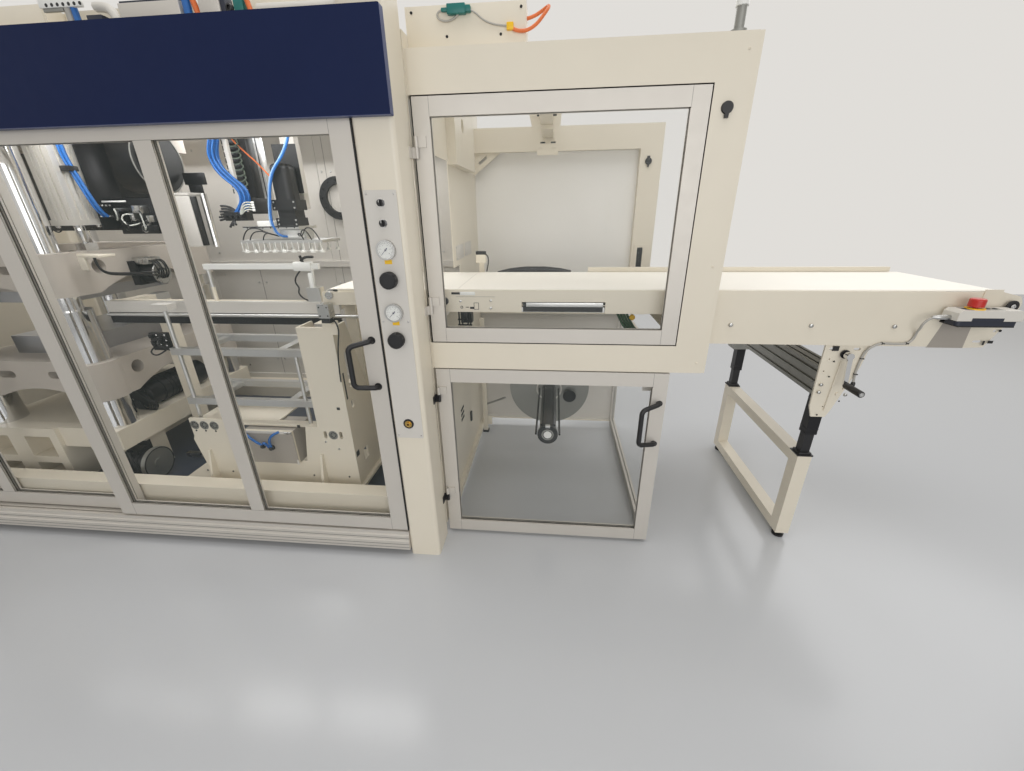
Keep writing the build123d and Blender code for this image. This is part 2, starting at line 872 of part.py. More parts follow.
def conveyor_frame():
    """Side plates, slider bed, ties, guide rail, end cover plates and the pendant's shelf."""
    near = prism("y", side_outline(False), near_plate)
    far = prism("y", side_outline(True), far_plate)
    for place in (nose_roller, end_roller):
        near -= bar("y", (near_plate[0] - 1, near_plate[1] + 1), place, roller_shaft + running)
        far -= bar("y", (far_plate[0] - 1, far_plate[1] + 1), place, roller_shaft + running)
    inner = (near_plate[1], far_plate[0])
    bed_x = (nose_roller[0] + nose_radius + 12, end_roller[0] - end_radius - 24)
    bed = block(bed_x, inner, (belt_bed - 8, belt_bed - seat))
    ties = [block((end_x + 90, end_x + 140), inner, (side_low + 4, side_low + 28))]
    for x in (deep_start + 60, (deep_start + notch_start) / 2, notch_start - 81):
        ties.append(block((end_x + x, end_x + x + 60), inner, (deep_bottom + 40, deep_bottom + 80)))
    beam = block((end_x + cut_start - 12, end_x + cut_end + 12), (near_plate[1], near_plate[1] + 30),
                 (side_low + 3, side_low + 23))
    pan = block((end_x + deep_start + 20, end_x + notch_start - 20), (inner[0] + 10, inner[1] - 10),
                (deep_bottom + 37, deep_bottom + 40))
    guide_x = (end_x + guide_start, right_end - 110)
    guide = block(guide_x, (far_plate[0] - 12, far_plate[1]), (belt_top + seat, belt_top + guide_height))
    guide += block(guide_x, far_plate, (belt_bed, belt_top + seat))
    skin = (near_plate[1], near_plate[1] + cover_thickness)
    dx = end_x + notch_start
    cover = block((dx + 6, dx + 134), skin, (deep_bottom - 6, belt_bed - 60))
    end_plate = polygon(
        (dx + 134, belt_bed - 60), (dx + 240, belt_bed - 92), (dx + 248, 1072), (dx + 206, deep_bottom - 2),
        (dx + 134, deep_bottom - 6),
    )
    end_plate -= Pos(dx + 176, 1010) * SlotOverall(30, 9)
    end_plate -= Pos(dx + 222, 1052) * Circle(5)
    end_plate = prism("y", end_plate, skin)
    bolt_x = (deep_start + 257, (deep_start + 257 + notch_start - 142) / 2, notch_start - 142)
    bolts = [bar("y", (near_plate[0] - 4, near_plate[0]), (end_x + x, deep_bottom + 79), 8) for x in bolt_x]
    sensor_y = (far_plate[0] - 20, far_plate[1])
    sensor = block((end_x + 100, end_x + 150), sensor_y, (belt_top + 48, belt_top + 104))
    sensor += block((end_x + 112, end_x + 138), far_plate, (belt_bed, belt_top + 48))
    return [near, far, bed, beam, pan, guide, cover, end_plate, sensor] + ties + bolts + pendant_shelf()


def conveyor_belt():
    """The belt as a closed loop over the nose roller, the bed's end and the end roller."""
    bed_end = (end_roller[0] - 40, belt_bed - end_radius)
    loops = []
    for extra in (belt_thickness, seat):
        edges = ShapeList()
        for place, radius in ((nose_roller, nose_radius), (bed_end, end_radius), (end_roller, end_radius)):
            edges += (Pos(*place) * Circle(radius + extra)).edges()
        loops.append(make_hull(edges))
    return prism("y", loops[0] - loops[1], belt_y)


def roller(place, radius):
    drum = bar("y", (near_plate[1] + 1, far_plate[0] - 1), place, radius)
    shaft = bar("y", (near_plate[0] - 6, far_plate[1] + 6), place, roller_shaft)
    return drum + shaft + bar("y", (near_plate[0] - 12, near_plate[0] - 4), place, roller_shaft + 8)


# Stand: leg frame with fixed inner tubes, sliding sleeves, head plates, cross beam and crank

post_x = end_x + stand_x
near_post_y = near_plate[1] + sleeve_size / 2 + side_thickness
far_post_y = near_post_y + stand_pitch
beam_x = (post_x - 48, post_x - 48 + beam_width)
gusset_y = (near_plate[1], near_post_y - sleeve_size / 2)
head_bottom = beam_bottom - pad_height


def square_tube(y, size, bore, z, floor):
    """An upright square tube with a closed floor of a given thickness."""
    outer = block(around(post_x, size / 2), around(y, size / 2), z)
    return outer - block(around(post_x, bore / 2), around(y, bore / 2), (z[0] + floor, z[1] + 1))


def leg_frame():
    """Welded posts and bars, levelling feet, and the two inner tubes clamped in the posts."""
    bore = inner_tube / 2 + seat
    half = post_size / 2
    hollow = post_size - 2 * post_wall
    between = (near_post_y + half, far_post_y - half)
    shapes = [
        block(around(post_x, half), between, (foot_height, foot_height + bar_height)),
        block(around(post_x, half), between, (post_top - bar_height, post_top)),
    ]
    for y in (near_post_y, far_post_y):
        shapes.append(square_tube(y, post_size, hollow, (foot_height, post_top), foot_height))
        foot = bar("z", (0, 12), (post_x, y), foot_radius) + bar("z", (12, foot_height), (post_x, y), 10)
        collar = block(around(post_x, half + 3), around(y, half + 3), (post_top, post_top + 6))
        collar -= block(around(post_x, bore), around(y, bore), (post_top - 1, post_top + 7))
        tube_z = (inner_tube_low, inner_tube_top)
        tube = block(around(post_x, inner_tube / 2), around(y, inner_tube / 2), tube_z)
        tube -= block(around(post_x, 15), around(y, 15), (tube_z[0] - 1, tube_z[1] - 3))
        shapes += [foot, collar, tube]
    return shapes


def sleeves():
    """The two sliding sleeves of the stand, closed at the top, with a clamp screw boss each."""
    shapes = []
    for y, top in ((near_post_y, beam_bottom), (far_post_y, head_bottom)):
        outer = block(around(post_x, sleeve_size / 2), around(y, sleeve_size / 2), (sleeve_low, top))
        bore = inner_tube / 2 + seat
        outer -= block(around(post_x, bore), around(y, bore), (sleeve_low - 1, top - 6))
        shapes.append(outer)
    return shapes


def stand_head():
    """The near gusset plate with its holes, the far bracket and the bracket of the far side."""
    top = deep_bottom + 60
    outline = polygon(
        (post_x - 50, top), (post_x + 116, top), (post_x + 116, deep_bottom - 4), (post_x + 104, 900),
        (post_x + 42, 700), (post_x + 28, 668), (post_x - 28, 668), (post_x - 44, 716), (post_x - 50, 900),
    )
    for dx, z in ((-20, 972), (70, 972)):
        outline -= Pos(post_x + dx, z) * SlotOverall(26, 10)
    for dx, z, radius in ((-22, 928, 3), (-30, 876, 3), (8, 716, 3), (64, 800, 3), (60, 900, 3)):
        outline -= Pos(post_x + dx, z) * Circle(radius)
    outline -= Pos(post_x + crank_dx, crank_z) * Circle(roller_shaft + running)
    near = prism("y", outline, gusset_y)
    bolts = [
        bar("y", (near_plate[1] - 5, near_plate[1]), (post_x + dx, z), 7)
        for dx, z in ((-28, 818), (-28, 784), (48, 776))
    ]
    pad = block(around(post_x - 8, 48), around(far_post_y, 42), (head_bottom, beam_bottom))
    hanger_y = (far_plate[0] - 8, far_plate[0])
    hanger = block(around(post_x - 8, 60), hanger_y, (beam_bottom + beam_height, deep_bottom + 30))
    return [near, pad, hanger] + bolts


def cross_beam():
    """A grooved aluminium beam from the gusset to the far bracket."""
    z = (beam_bottom, beam_bottom + beam_height)
    outline = area(beam_x, z)
    for index in range(3):
        spot = around(z[0] + beam_height * (2 * index + 1) / 6, 5)
        outline -= area((beam_x[0] - 1, beam_x[0] + 9), spot)
        outline -= area((beam_x[1] - 9, beam_x[1] + 1), spot)
    for middle in (beam_x[0] + beam_width / 4, beam_x[1] - beam_width / 4):
        outline -= area(around(middle, 5), (z[1] - 9, z[1] + 1))
        outline -= area(around(middle, 5), (z[0] - 1, z[0] + 9))
    return prism("y", outline, (gusset_y[1], far_post_y + 50))


crank_x = post_x + crank_dx
crank_face = conveyor_near - 22
grip_x = crank_x + crank_arm[0]
grip_z = crank_z + crank_arm[1]


def crank():
    """Shaft, hub, bent arm and grip pin of the height crank."""
    centre = (crank_x, crank_z)
    shaft = bar("y", (crank_face, gusset_y[1] + 6), centre, roller_shaft)
    hub = bar("y", (crank_face - 12, crank_face + 10), centre, 14)
    outline = make_hull((Pos(*centre) * Circle(9)).edges() + (Pos(grip_x, grip_z) * Circle(8)).edges())
    arm = prism("y", outline, (crank_face - 12, crank_face - 4))
    return shaft + hub + arm + bar("y", (crank_face - 12 - grip_length, crank_face - 12), (grip_x, grip_z), 5)


def crank_grip():
    """A turned grip with rounded ends, loose on the crank's pin."""
    start = crank_face - 12 - seat
    grip = bar("y", (start - grip_length, start), (grip_x, grip_z), grip_radius)
    grip = fillet(grip.edges().filter_by(GeomType.CIRCLE), 4)
    return grip - bar("y", (start - grip_length - 1, start + 1), (grip_x, grip_z), 5 + running)


# Hand pendant on its shelf at the end of the conveyor, with its cable

pendant_x = end_x + notch_start - 4
pendant_y = (conveyor_near - 16 - pendant_depth, conveyor_near - 16)
pendant_mid_y = sum(pendant_y) / 2
pendant_top = pendant_bottom + pendant_height
pendant_low = pendant_bottom + pendant_base
button_x = pendant_x + button_offset
gland_x = pendant_x - 34


def pendant_case():
    """The pendant's light case with chamfered ends, its dark base, a collar and the gland."""
    x = (pendant_x, pendant_x + pendant_length)
    case = block(x, pendant_y, (pendant_low, pendant_top))
    case = chamfer(case.edges().filter_by(Axis.Y).group_by(Axis.Z)[-1], 10)
    base = Pos(sum(x) / 2, pendant_mid_y) * RectangleRounded(pendant_length - 12, pendant_depth - 8, 14)
    collar = bar("z", (pendant_top, pendant_top + 4), (button_x, pendant_mid_y), button_radius + 5)
    bore = bar("z", (pendant_top - 20, pendant_top + 5), (button_x, pendant_mid_y), 8 + running)
    gland = bar("x", (gland_x, pendant_x), (pendant_mid_y, pendant_low + 7), 9)
    gland = chamfer(gland.edges().filter_by(GeomType.CIRCLE).sort_by(Axis.X)[0], 3)
    return [case - bore, prism("z", base, (pendant_bottom, pendant_low)), collar - bore, gland]


def stop_button():
    """The mushroom head of the emergency stop, on its stem."""
    low = pendant_top + 4 + button_travel + 1
    head = bar("z", (low, low + 29), (button_x, pendant_mid_y), button_radius)
    head = fillet(head.edges().filter_by(GeomType.CIRCLE).sort_by(Axis.Z)[-1], 6)
    return head + bar("z", (pendant_top - 12, low), (button_x, pendant_mid_y), 8)


def pendant_shelf():
    """A shelf on the near side plate, and the tab that stands up behind the pendant."""
    x = (pendant_x + 14, pendant_x + pendant_length - 14)
    back = near_plate[0]
    shelf = block(x, (pendant_y[0] + 4, back), (pendant_bottom - 5, pendant_bottom))
    stay = block(x, (back - 4, back), (pendant_bottom, pendant_bottom + 40))
    tab = block((pendant_x + 126, pendant_x + 186), (back - 4, back), (pendant_bottom + 40, belt_top + 6))
    return [shelf + stay + tab]


def cable_points():
    """The cable's corners, from the gland round to the plate's lower edge and down the gusset."""
    lane = near_plate[0] - cable_radius - 1
    low = near_plate[1] - cable_radius - 0.6
    gland_z = pendant_low + 7
    far = end_x + notch_start - 45
    return [
        (gland_x, pendant_mid_y, gland_z),
        (gland_x - 14, pendant_mid_y, gland_z),
        (gland_x - 27, pendant_mid_y + 1, gland_z - 6),
        (gland_x - 36, pendant_mid_y + 4, gland_z - 16),
        (gland_x - 40, pendant_mid_y + 9, gland_z - 31),
        (gland_x - 34, pendant_mid_y + 19, gland_z - 48),
        (gland_x - 26, lane - 7, gland_z - 66),
        (gland_x - 22, lane - 1, gland_z - 84),
        (gland_x - 25, lane, gland_z - 99),
        (gland_x - 35, lane, gland_z - 111),
        (gland_x - 50, lane, gland_z - 116),
        (gland_x - 76, lane, gland_z - 117),
        (gland_x - 104, lane, gland_z - 116),
        (far - 122, lane, deep_bottom + 13),
        (far - 142, lane, deep_bottom + 6),
        (far - 157, lane + 2, deep_bottom - 7),
        (far - 167, low - 2, deep_bottom - 24),
        (far - 172, low, deep_bottom - 46),
        (far - 176, low, deep_bottom - 82),
        (far - 178, low, deep_bottom - 124),
        (far - 173, low, deep_bottom - 163),
    ]


def pendant_cable():
    points = cable_points()
    radii = bend_radii(points)
    cable, path = tube_along(points, radii, cable_radius)
    wanted = math.pi * cable_radius ** 2 * path.length
    print("cable bend radii", [round(value, 1) for value in radii])
    print("cable length", round(path.length, 1), "volume ratio", round(cable.volume / wanted, 4))
    return cable


# Forming press: base, guide columns, two cast platens, crown, cylinder and drive drum

press_x = (end_x - press_right - press_pitch_x, end_x - press_right)
press_y = (front_y + press_front, front_y + press_front + press_pitch_y)
press_mid_x = sum(press_x) / 2
press_mid_y = sum(press_y) / 2
guide_places = [(x, y) for x in press_x for y in press_y]
cylinder_x = press_x[1] + 60
cylinder_y = press_y[0] + 136
drum_y = press_y[0] + 515


def guide_columns():
    """Four stepped columns: thick below the lower platen, middle to the upper one, thin above."""
    lower_end = lower_platen_z - 6
    middle_end = upper_platen_z - 70
    return [
        bar("z", (base_top, lower_end), place, guide_lower)
        + bar("z", (lower_end, middle_end), place, guide_middle)
        + bar("z", (middle_end, crown_bottom), place, guide_upper)
        for place in guide_places
    ]


def press_base():
    """Welded base frame with pockets, side beams under the right columns, and the crown beams."""
    margin = 98
    y = (press_y[0] - margin, press_y[1] + margin)
    box_x = (press_x[0] - margin, press_x[0] + 410)
    box = block(box_x, y, (floor_top, base_top))
    pitch = (box_x[1] - box_x[0]) / 2
    for index in range(2):
        pocket_x = (box_x[0] + index * pitch + 50, box_x[0] + (index + 1) * pitch - 50)
        for low, high in ((floor_top + 46, 250), (290, base_top - 50)):
            box -= block(pocket_x, (y[0] - 1, y[0] + 110), (low, high))
    beam_z = (350, base_top)
    right = (press_x[1] - 108, press_x[1] + 90)
    shapes = [
        box,
        block(right, y, beam_z),
        block((box_x[1], right[0]), (y[0] + 20, y[0] + 140), beam_z),
        block((box_x[1], right[0]), (y[1] - 140, y[1] - 20), beam_z),
    ]
    for low in (y[0] + 150, y[1] - 270):
        shapes.append(block((right[0] + 30, right[1] - 40), (low, low + 120), (floor_top, beam_z[0])))
    for x in press_x:
        shapes.append(block(around(x, 80), (y[0], y[1]), (crown_bottom, crown_bottom + crown_height)))
    inner = (press_x[0] + 80, press_x[1] - 80)
    for edge in press_y:
        shapes.append(block(inner, around(edge, 60), (crown_bottom, crown_bottom + crown_height)))
    return shapes + [floor_pump()]


def floor_pump():
    """The pump motor on the floor below the right side beam, with its end disc and feet."""
    z = floor_top + pump_disc + 5
    centre = (press_y[0] - 16, z)
    x = (press_x[1] - 20, press_x[1] + 142)
    pump = bar("x", x, centre, pump_radius)
    for index in range(4):
        fin = x[0] + 30 + 24 * index
        pump += bar("x", (fin, fin + 8), centre, pump_radius + 3)
    pump += bar("x", (x[1], x[1] + 22), centre, pump_disc)
    pump += bar("x", (x[1] + 22, x[1] + 29), centre, pump_disc / 3)
    foot = block((x[0] + 20, x[1] - 20), around(centre[0], pump_radius - 8), (floor_top, z - pump_radius / 2))
    return pump + foot + block((x[0] + 36, x[0] + 106), around(centre[0] + 6, 30), (z, z + pump_radius + 24))


def platen(z, boss, bore, table_z):
    """A cast platen: corner bosses, arched side webs with round holes, end webs and a table."""
    top = z + platen_height
    body = block(press_x, press_y, table_z)
    for x in press_x:
        inward = 1 if x == press_x[0] else -1
        outer = x - inward * boss_radius
        body += block(sorted((outer, outer + inward * web)), press_y, (z, top))
    for y in press_y:
        body += block(press_x, around(y, 34), (z, top))
    rise = 75
    half = 300
    arch = (half ** 2 + rise ** 2) / (2 * rise)
    span_x = (press_x[0] - 150, press_x[1] + 150)
    span_y = (press_y[0] - 150, press_y[1] + 150)
    body -= bar("x", span_x, (press_mid_y, z + rise - arch), arch)
    rise = 45
    half = 230
    arch = (half ** 2 + rise ** 2) / (2 * rise)
    body -= bar("y", span_y, (press_mid_x, z + rise - arch), arch)
    for offset in (-269, 269):
        body -= bar("x", span_x, (press_mid_y + offset, z + 122), 34)
    for offset in (-147, 147):
        slot = Pos(press_mid_x + offset, z + 122) * SlotOverall(100, 38)
        body -= prism("y", slot, (press_y[0] - 40, press_y[0] + 40))
    for place in guide_places:
        body += bar("z", (z, top), place, boss)
    for place in guide_places:
        body -= bar("z", (z - 1, top + 1), place, bore)
    return body


def tool_block(z):
    return block(around(press_mid_x, 215), around(press_mid_y, 300), z)


def lower_platen():
    """The lower platen with the forming tool on its table."""
    top = lower_platen_z + platen_height
    body = platen(lower_platen_z, boss_lower, guide_middle + running, (top - table_height, top))
    return [body, tool_block((top, top + 95))]


def upper_platen():
    """The upper platen with its tool, and a small gear motor on the right face."""
    low = upper_platen_z
    body = platen(low, boss_radius, guide_upper + running, (low + 96, low + 96 + table_height))
    tool = tool_block((low - 55, low + 96))
    face = press_x[1] + boss_radius
    motor = bar("x", (face, face + 120), (press_mid_y - 60, low + 62), 52)
    motor += block((face, face + 40), around(press_mid_y - 60, 62), (low + 6, low + 130))
    return [body, tool, motor]


def press_cylinder():
    """The profile-tube cylinder under the crown beam, and the drive drum beside the beam."""
    x = around(cylinder_x, cylinder_size)
    y = around(cylinder_y, cylinder_size)
    outline = area(x, y)
    for side in (-30, 0, 30):
        outline -= area((x[1] - 7, x[1] + 1), around(cylinder_y + side, 6))
        outline -= area(around(cylinder_x + side, 6), (y[0] - 1, y[0] + 7))
    bore_z = (cylinder_bottom - 1, cylinder_bottom + 240)
    bore = bar("z", bore_z, (cylinder_x, cylinder_y), piston_rod + running)
    barrel = prism("z", outline, (cylinder_bottom + 24, crown_bottom)) - bore
    cap = block((x[0] - 5, x[1] + 5), (y[0] - 5, y[1] + 5), (cylinder_bottom, cylinder_bottom + 24)) - bore
    face = press_x[1] + 80
    drum_place = (drum_y, crown_bottom - drum_drop)
    drum = bar("x", (face, face + 150), drum_place, drum_radius)
    drum += bar("x", (face + 150, face + 175), drum_place, drum_radius - 50)
    return [barrel, cap, drum]


def cylinder_rod():
    """The piston rod with its tapered nose and the clevis block on the upper platen."""
    top = upper_platen_z + platen_height
    centre = (cylinder_x, cylinder_y)
    rod = bar("z", (cylinder_bottom - 24, cylinder_bottom + 150), centre, piston_rod)
    low, high = top + 36, cylinder_bottom - 24
    nose = Pos(*centre, (low + high) / 2) * Cone(12, piston_rod, high - low)
    return rod + nose + block(around(cylinder_x, 26), around(cylinder_y, 30), (top, top + 36))


# Stacking station behind the right pane of the front door

stack_x = (end_x - stacker_left, end_x - stacker_right)
stack_y = front_y + stacker_front
stack_plate = (stack_y + 60, stack_y + 60 + plate_thickness)
rail_z = (floor_top, floor_top + rail_height)
flange_low = rail_z[1] + seat + carriage_height
flange_z = (flange_low, flange_low + flange_thickness)
rail_rows = (stack_y + 34, stack_y + stacker_depth - 40)
stack_post = (stack_x[1] - 20 - post_width, stack_x[1] - 20)
stack_rod = 9
stack_rods_x = (stack_x[0] + 115, stack_post[0] - 60)
stack_rods_y = (stack_plate[1] + 30, stack_y + stacker_depth - 60)
beam_line = front_y + 400


def stacker_carriages():
    """Four rail carriages under the stacker's flange."""
    shapes = []
    for x in (stack_x[0] + 130, stack_x[0] + 650):
        for y in rail_rows:
            body = block((x, x + 108), around(y, 25), (floor_top + 9, flange_z[0]))
            channel = block((x - 1, x + 109), around(y, rail_width / 2 + seat), (floor_top, rail_z[1] + seat))
            shapes.append(body - channel)
    return shapes


def stacker_bracket():
    """The welded bracket: flange, notched plate, gussets, the tall post and the pick-up box."""
    x0, x1 = stack_x
    base = flange_z[1]
    outline = area((x0 - 44, x1), (stack_y, stack_y + stacker_depth))
    for dx, dy in ((20, 24), (76, 14), (110, 34), (470, 26), (620, 14), (660, 40), (840, 26)):
        outline -= Pos(x0 + dx, stack_y + dy) * SlotOverall(34, 15)
    flange = prism("z", outline, flange_z)
    face = polygon(
        (x0 + 120, base), (x0 + 76, plate_top - 118), (x0 + 85, plate_top - 100), (x0 + 85, plate_top),
        (x0 + 288, plate_top), (x0 + 330, 335), (x0 + 668, 335), (x0 + 700, plate_top - 24),
        (x1 - 20, plate_top - 24), (x1 - 20, base),
    )
    for dx in (108, 160, 214):
        face -= Pos(x0 + dx, plate_top - 36) * Circle(21)
    face -= Pos(x1 - 116, plate_top - 66) * Circle(24)
    for dx in (156, 76):
        face -= Pos(x1 - dx, plate_top - 66) * RectangleRounded(16, 40, 6)
    plate = prism("y", face, stack_plate)
    gussets = []
    for x in (x0 + 150, x0 + 756):
        top = base + 180
        side = polygon((stack_plate[0], base), (stack_plate[0], top), (stack_plate[0] - 12, top),
                       (stack_y + 6, base))
        gussets.append(prism("x", side, around(x, 6)))
    front = block(stack_post, stack_plate, (plate_top - 24, stack_post_top))
    back = stack_plate[1]
    cheek = polygon(
        (back, base), (back + 320, base), (back + 320, base + 110), (back + 130, stack_post_top - 60),
        (back + 106, stack_post_top), (back, stack_post_top),
    )
    cheek -= Pos(back + 66, 810) * SlotOverall(180, 34, rotation=90)
    cheek -= Pos(back + 50, 640) * SlotOverall(44, 24, rotation=90)
    cheek -= Pos(back + 96, 330) * RectangleRounded(50, 66, 6)
    cheeks = [
        prism("x", cheek, (stack_post[1] - 10, stack_post[1])),
        prism("x", cheek, (stack_post[0], stack_post[0] + 10)),
    ]
    pick_box = block((x0 + 388, x0 + 640), (stack_plate[0] - 26, back + 120), (335, 518))
    pick_box -= block((x0 + 384, x0 + 644), stack_plate, (334, 336))
    shapes = [flange, plate, front, pick_box, stacker_table()] + post_sensor()
    return shapes + gussets + cheeks + stacker_carriages()


def stacker_table():
    """The table plate behind the notched plate, cut out at the right and bored for the rods."""
    x = (stack_x[0] + 85, stack_post[0])
    y = (stack_plate[1], stack_plate[1] + stack_table_depth)
    top = plate_top - stack_table_drop
    outline = area(x, y) - area((x[1] - 240, x[1] - 20), (y[0] + 50, y[1] - 50))
    for left in stack_rods_x:
        for edge in stack_rods_y:
            outline -= Pos(left, edge) * Circle(stack_rod + seat)
    return prism("z", outline, (top - stack_table_thickness, top))


def post_sensor():
    """The angle on the post's front face, and the sensor that stands on its shelf."""
    x = (stack_post[1] - 40, stack_post[1] + 36)
    face = stack_plate[0]
    z = stack_post_top + 31
    angle = block(x, (face - 4, face), (stack_post_top - 30, z + 4))
    angle += block(x, (face - 60, face - 4), (z, z + 4))
    seat_x = (x[0] + 26, x[1])
    sensor = block((seat_x[0] + 6, seat_x[1] - 6), (face - 54, face - 20), (z + 4, z + 26))
    return [angle, sensor + block(seat_x, (face - 60, face - 16), (z + 26, z + 84))]


def stacking_frame():
    """Two levels of aluminium frames on four rods, with clamps at the left end."""
    x = (stack_x[0] + 85, stack_post[0])
    y = stack_rods_y
    shapes = []
    for z in (901, 642):
        for edge in y:
            shapes.append(block(x, around(edge, 14), around(z, 17)))
        for left in (x[0] + 90, x[1] - 160):
            shapes.append(block((left, left + 40), (y[0] + 14, y[1] - 14), around(z, 10)))
    for left in stack_rods_x:
        for edge in y:
            shapes.append(bar("z", (flange_z[1], 625), (left, edge), stack_rod))
            shapes.append(bar("z", (659, 884), (left, edge), stack_rod))
            if left < stack_post[0] - 200:
                shapes.append(bar("z", (918, 1100), (left, edge), stack_rod))
    shapes.append(block(around(x[0] + 30, 42), around(y[0], 26), (1100, 1128)))
    return shapes


head_x = end_x - 775
head_y = front_y + 637
manifold_x = end_x - 1065


def machine_rails():
    """Fixed rails and beams: floor rails, film beam and rail on uprights, head guide, manifold."""
    shapes = [block((stack_x[0] - 320, bay_right - 30), around(y, rail_width / 2), rail_z) for y in rail_rows]
    left = press_x[1] + boss_radius + 45
    right = end_x - 495
    shapes.append(block((left, right), (beam_line, beam_line + 50), (1078, 1114)))
    shapes.append(block((left, right), (beam_line - 6, beam_line), (1006, 1114)))
    shapes.append(bar("x", (left, bay_right - 190), (beam_line - 14, 1050), 8))
    for x in (left + 30, right - 90):
        behind = stack_y + stacker_depth + 30
        shapes.append(block((x, x + 60), (behind, behind + 60), (floor_top, 1078)))
        shapes.append(block((x, x + 60), (beam_line + 50, behind + 60), (1078, 1114)))
    for x in (end_x - 615, end_x - 1130):
        shapes.append(bar("z", (1114, 1262), (x, beam_line + 25), 9))
    shapes.append(block(around(end_x - 615, 32), around(beam_line + 25, 22), (1114, 1180)))
    shapes.append(block((end_x - 1145, end_x - 575), around(beam_line + 25, 9), (1262, 1286)))
    shapes.append(block(around(head_x, 35), (head_y + 62, head_y + 102), (head_z + 90, roof_z)))
    manifold_z = (head_z + 40, head_z + 80)
    manifold = block(around(manifold_x, 58), around(head_y, 24), manifold_z)
    for index in range(4):
        manifold += bar("y", (head_y - 44, head_y - 24), (manifold_x - 42 + 28 * index, head_z + 60), 8)
    shapes.append(manifold)
    shapes.append(block(around(manifold_x, 10), (head_y + 24, head_y + 40), (manifold_z[0], roof_z)))
    return shapes


def gripper_head():
    """The slide, drive column, tool plate and suction cups of the pick-and-place head."""
    slide = block(around(head_x, 60), (head_y + 26, head_y + 62 - seat), (head_z + 160, head_z + 370))
    motor_y = head_y + 26 - head_width / 2
    outline = Pos(head_x, motor_y) * RectangleRounded(head_width, head_width, 28)
    motor = prism("z", outline, (head_z + 130, head_z + 284))
    motor = fillet(motor.edges().group_by(Axis.Z)[-1], 24)
    gear_y = (motor_y - 46, head_y + 26)
    gearbox = block(around(head_x, 60), gear_y, (head_z + 84, head_z + 130))
    gearbox += block(around(head_x, 42), (gear_y[0] + 8, gear_y[1]), (head_z + 50, head_z + 84))
    gearbox += block(around(head_x, 54), gear_y, (head_z + 14, head_z + 50))
    plate = block((head_x - 225, head_x + 60), around(head_y, 80), (head_z, head_z + 14))
    manifold = block(around(head_x, 64), around(head_y, 34), (head_z - 48, head_z))
    grid = block((head_x - 250, head_x + 170), around(head_y, 90), (head_z - 62, head_z - 48))
    shapes = [slide, motor, gearbox, plate, manifold, grid]
    count = 9
    for index in range(count):
        x = head_x - 236 + index * 392 / (count - 1)
        for y in (head_y - 76, head_y + 76):
            stem = bar("z", (head_z - 90, head_z - 62), (x, y), 4)
            shapes.append(stem + Pos(x, y, head_z - 98) * Cone(13, 5, 16))
    return shapes


def hose_points(shift, turn):
    """The corners of one hose, from the roof down in a soft bend to the manifold."""
    x = manifold_x + shift
    y = head_y + turn
    return [
        (x - 40, y, roof_z), (x - 40, y, roof_z - 100), (x - 50, y, roof_z - 180),
        (x - 60, y, roof_z - 250), (x - 50, y, roof_z - 314), (x - 22, y, roof_z - 366),
        (x + 8, y, roof_z - 408), (x + 18, y, roof_z - 446), (x + 14, y, roof_z - 482),
        (x + 14, y, head_z + 80),
    ]


def air_hoses():
    """Three air hoses side by side, held in the roof and in the manifold."""
    shapes = []
    for shift, turn in ((-26, -7), (0, 0), (26, 7)):
        points = hose_points(shift, turn)
        shapes.append(tube_along(points, bend_radii(points), hose_radius)[0])
    print("hose bend radii", [round(value, 1) for value in bend_radii(hose_points(0, 0))])
    return shapes


def save(name, shapes):
    """Write one node: a single solid, or a group of separate solids."""
    shapes = shapes if isinstance(shapes, list) else [shapes]
    solids = [solid for shape in shapes for solid in shape.solids()]
    export_step(Compound(children=solids) if len(solids) > 1 else solids[0], f"parts/{name}.step")


door_a_frame, door_a_panes = sliding_door(door_a_left, door_a_y)
door_b_frame, door_b_panes = sliding_door(door_b_left, door_b_y)
window_frame, window_pane = window_door()
cabinet_door_frame, cabinet_door_pane = cabinet_door()
cabinet_side_frame, cabinet_side_pane = cabinet_side()
front_beam_back = portal_y + portal_skin + portal_depth
rear_beam_back = rear_portal_y - portal_skin - portal_depth

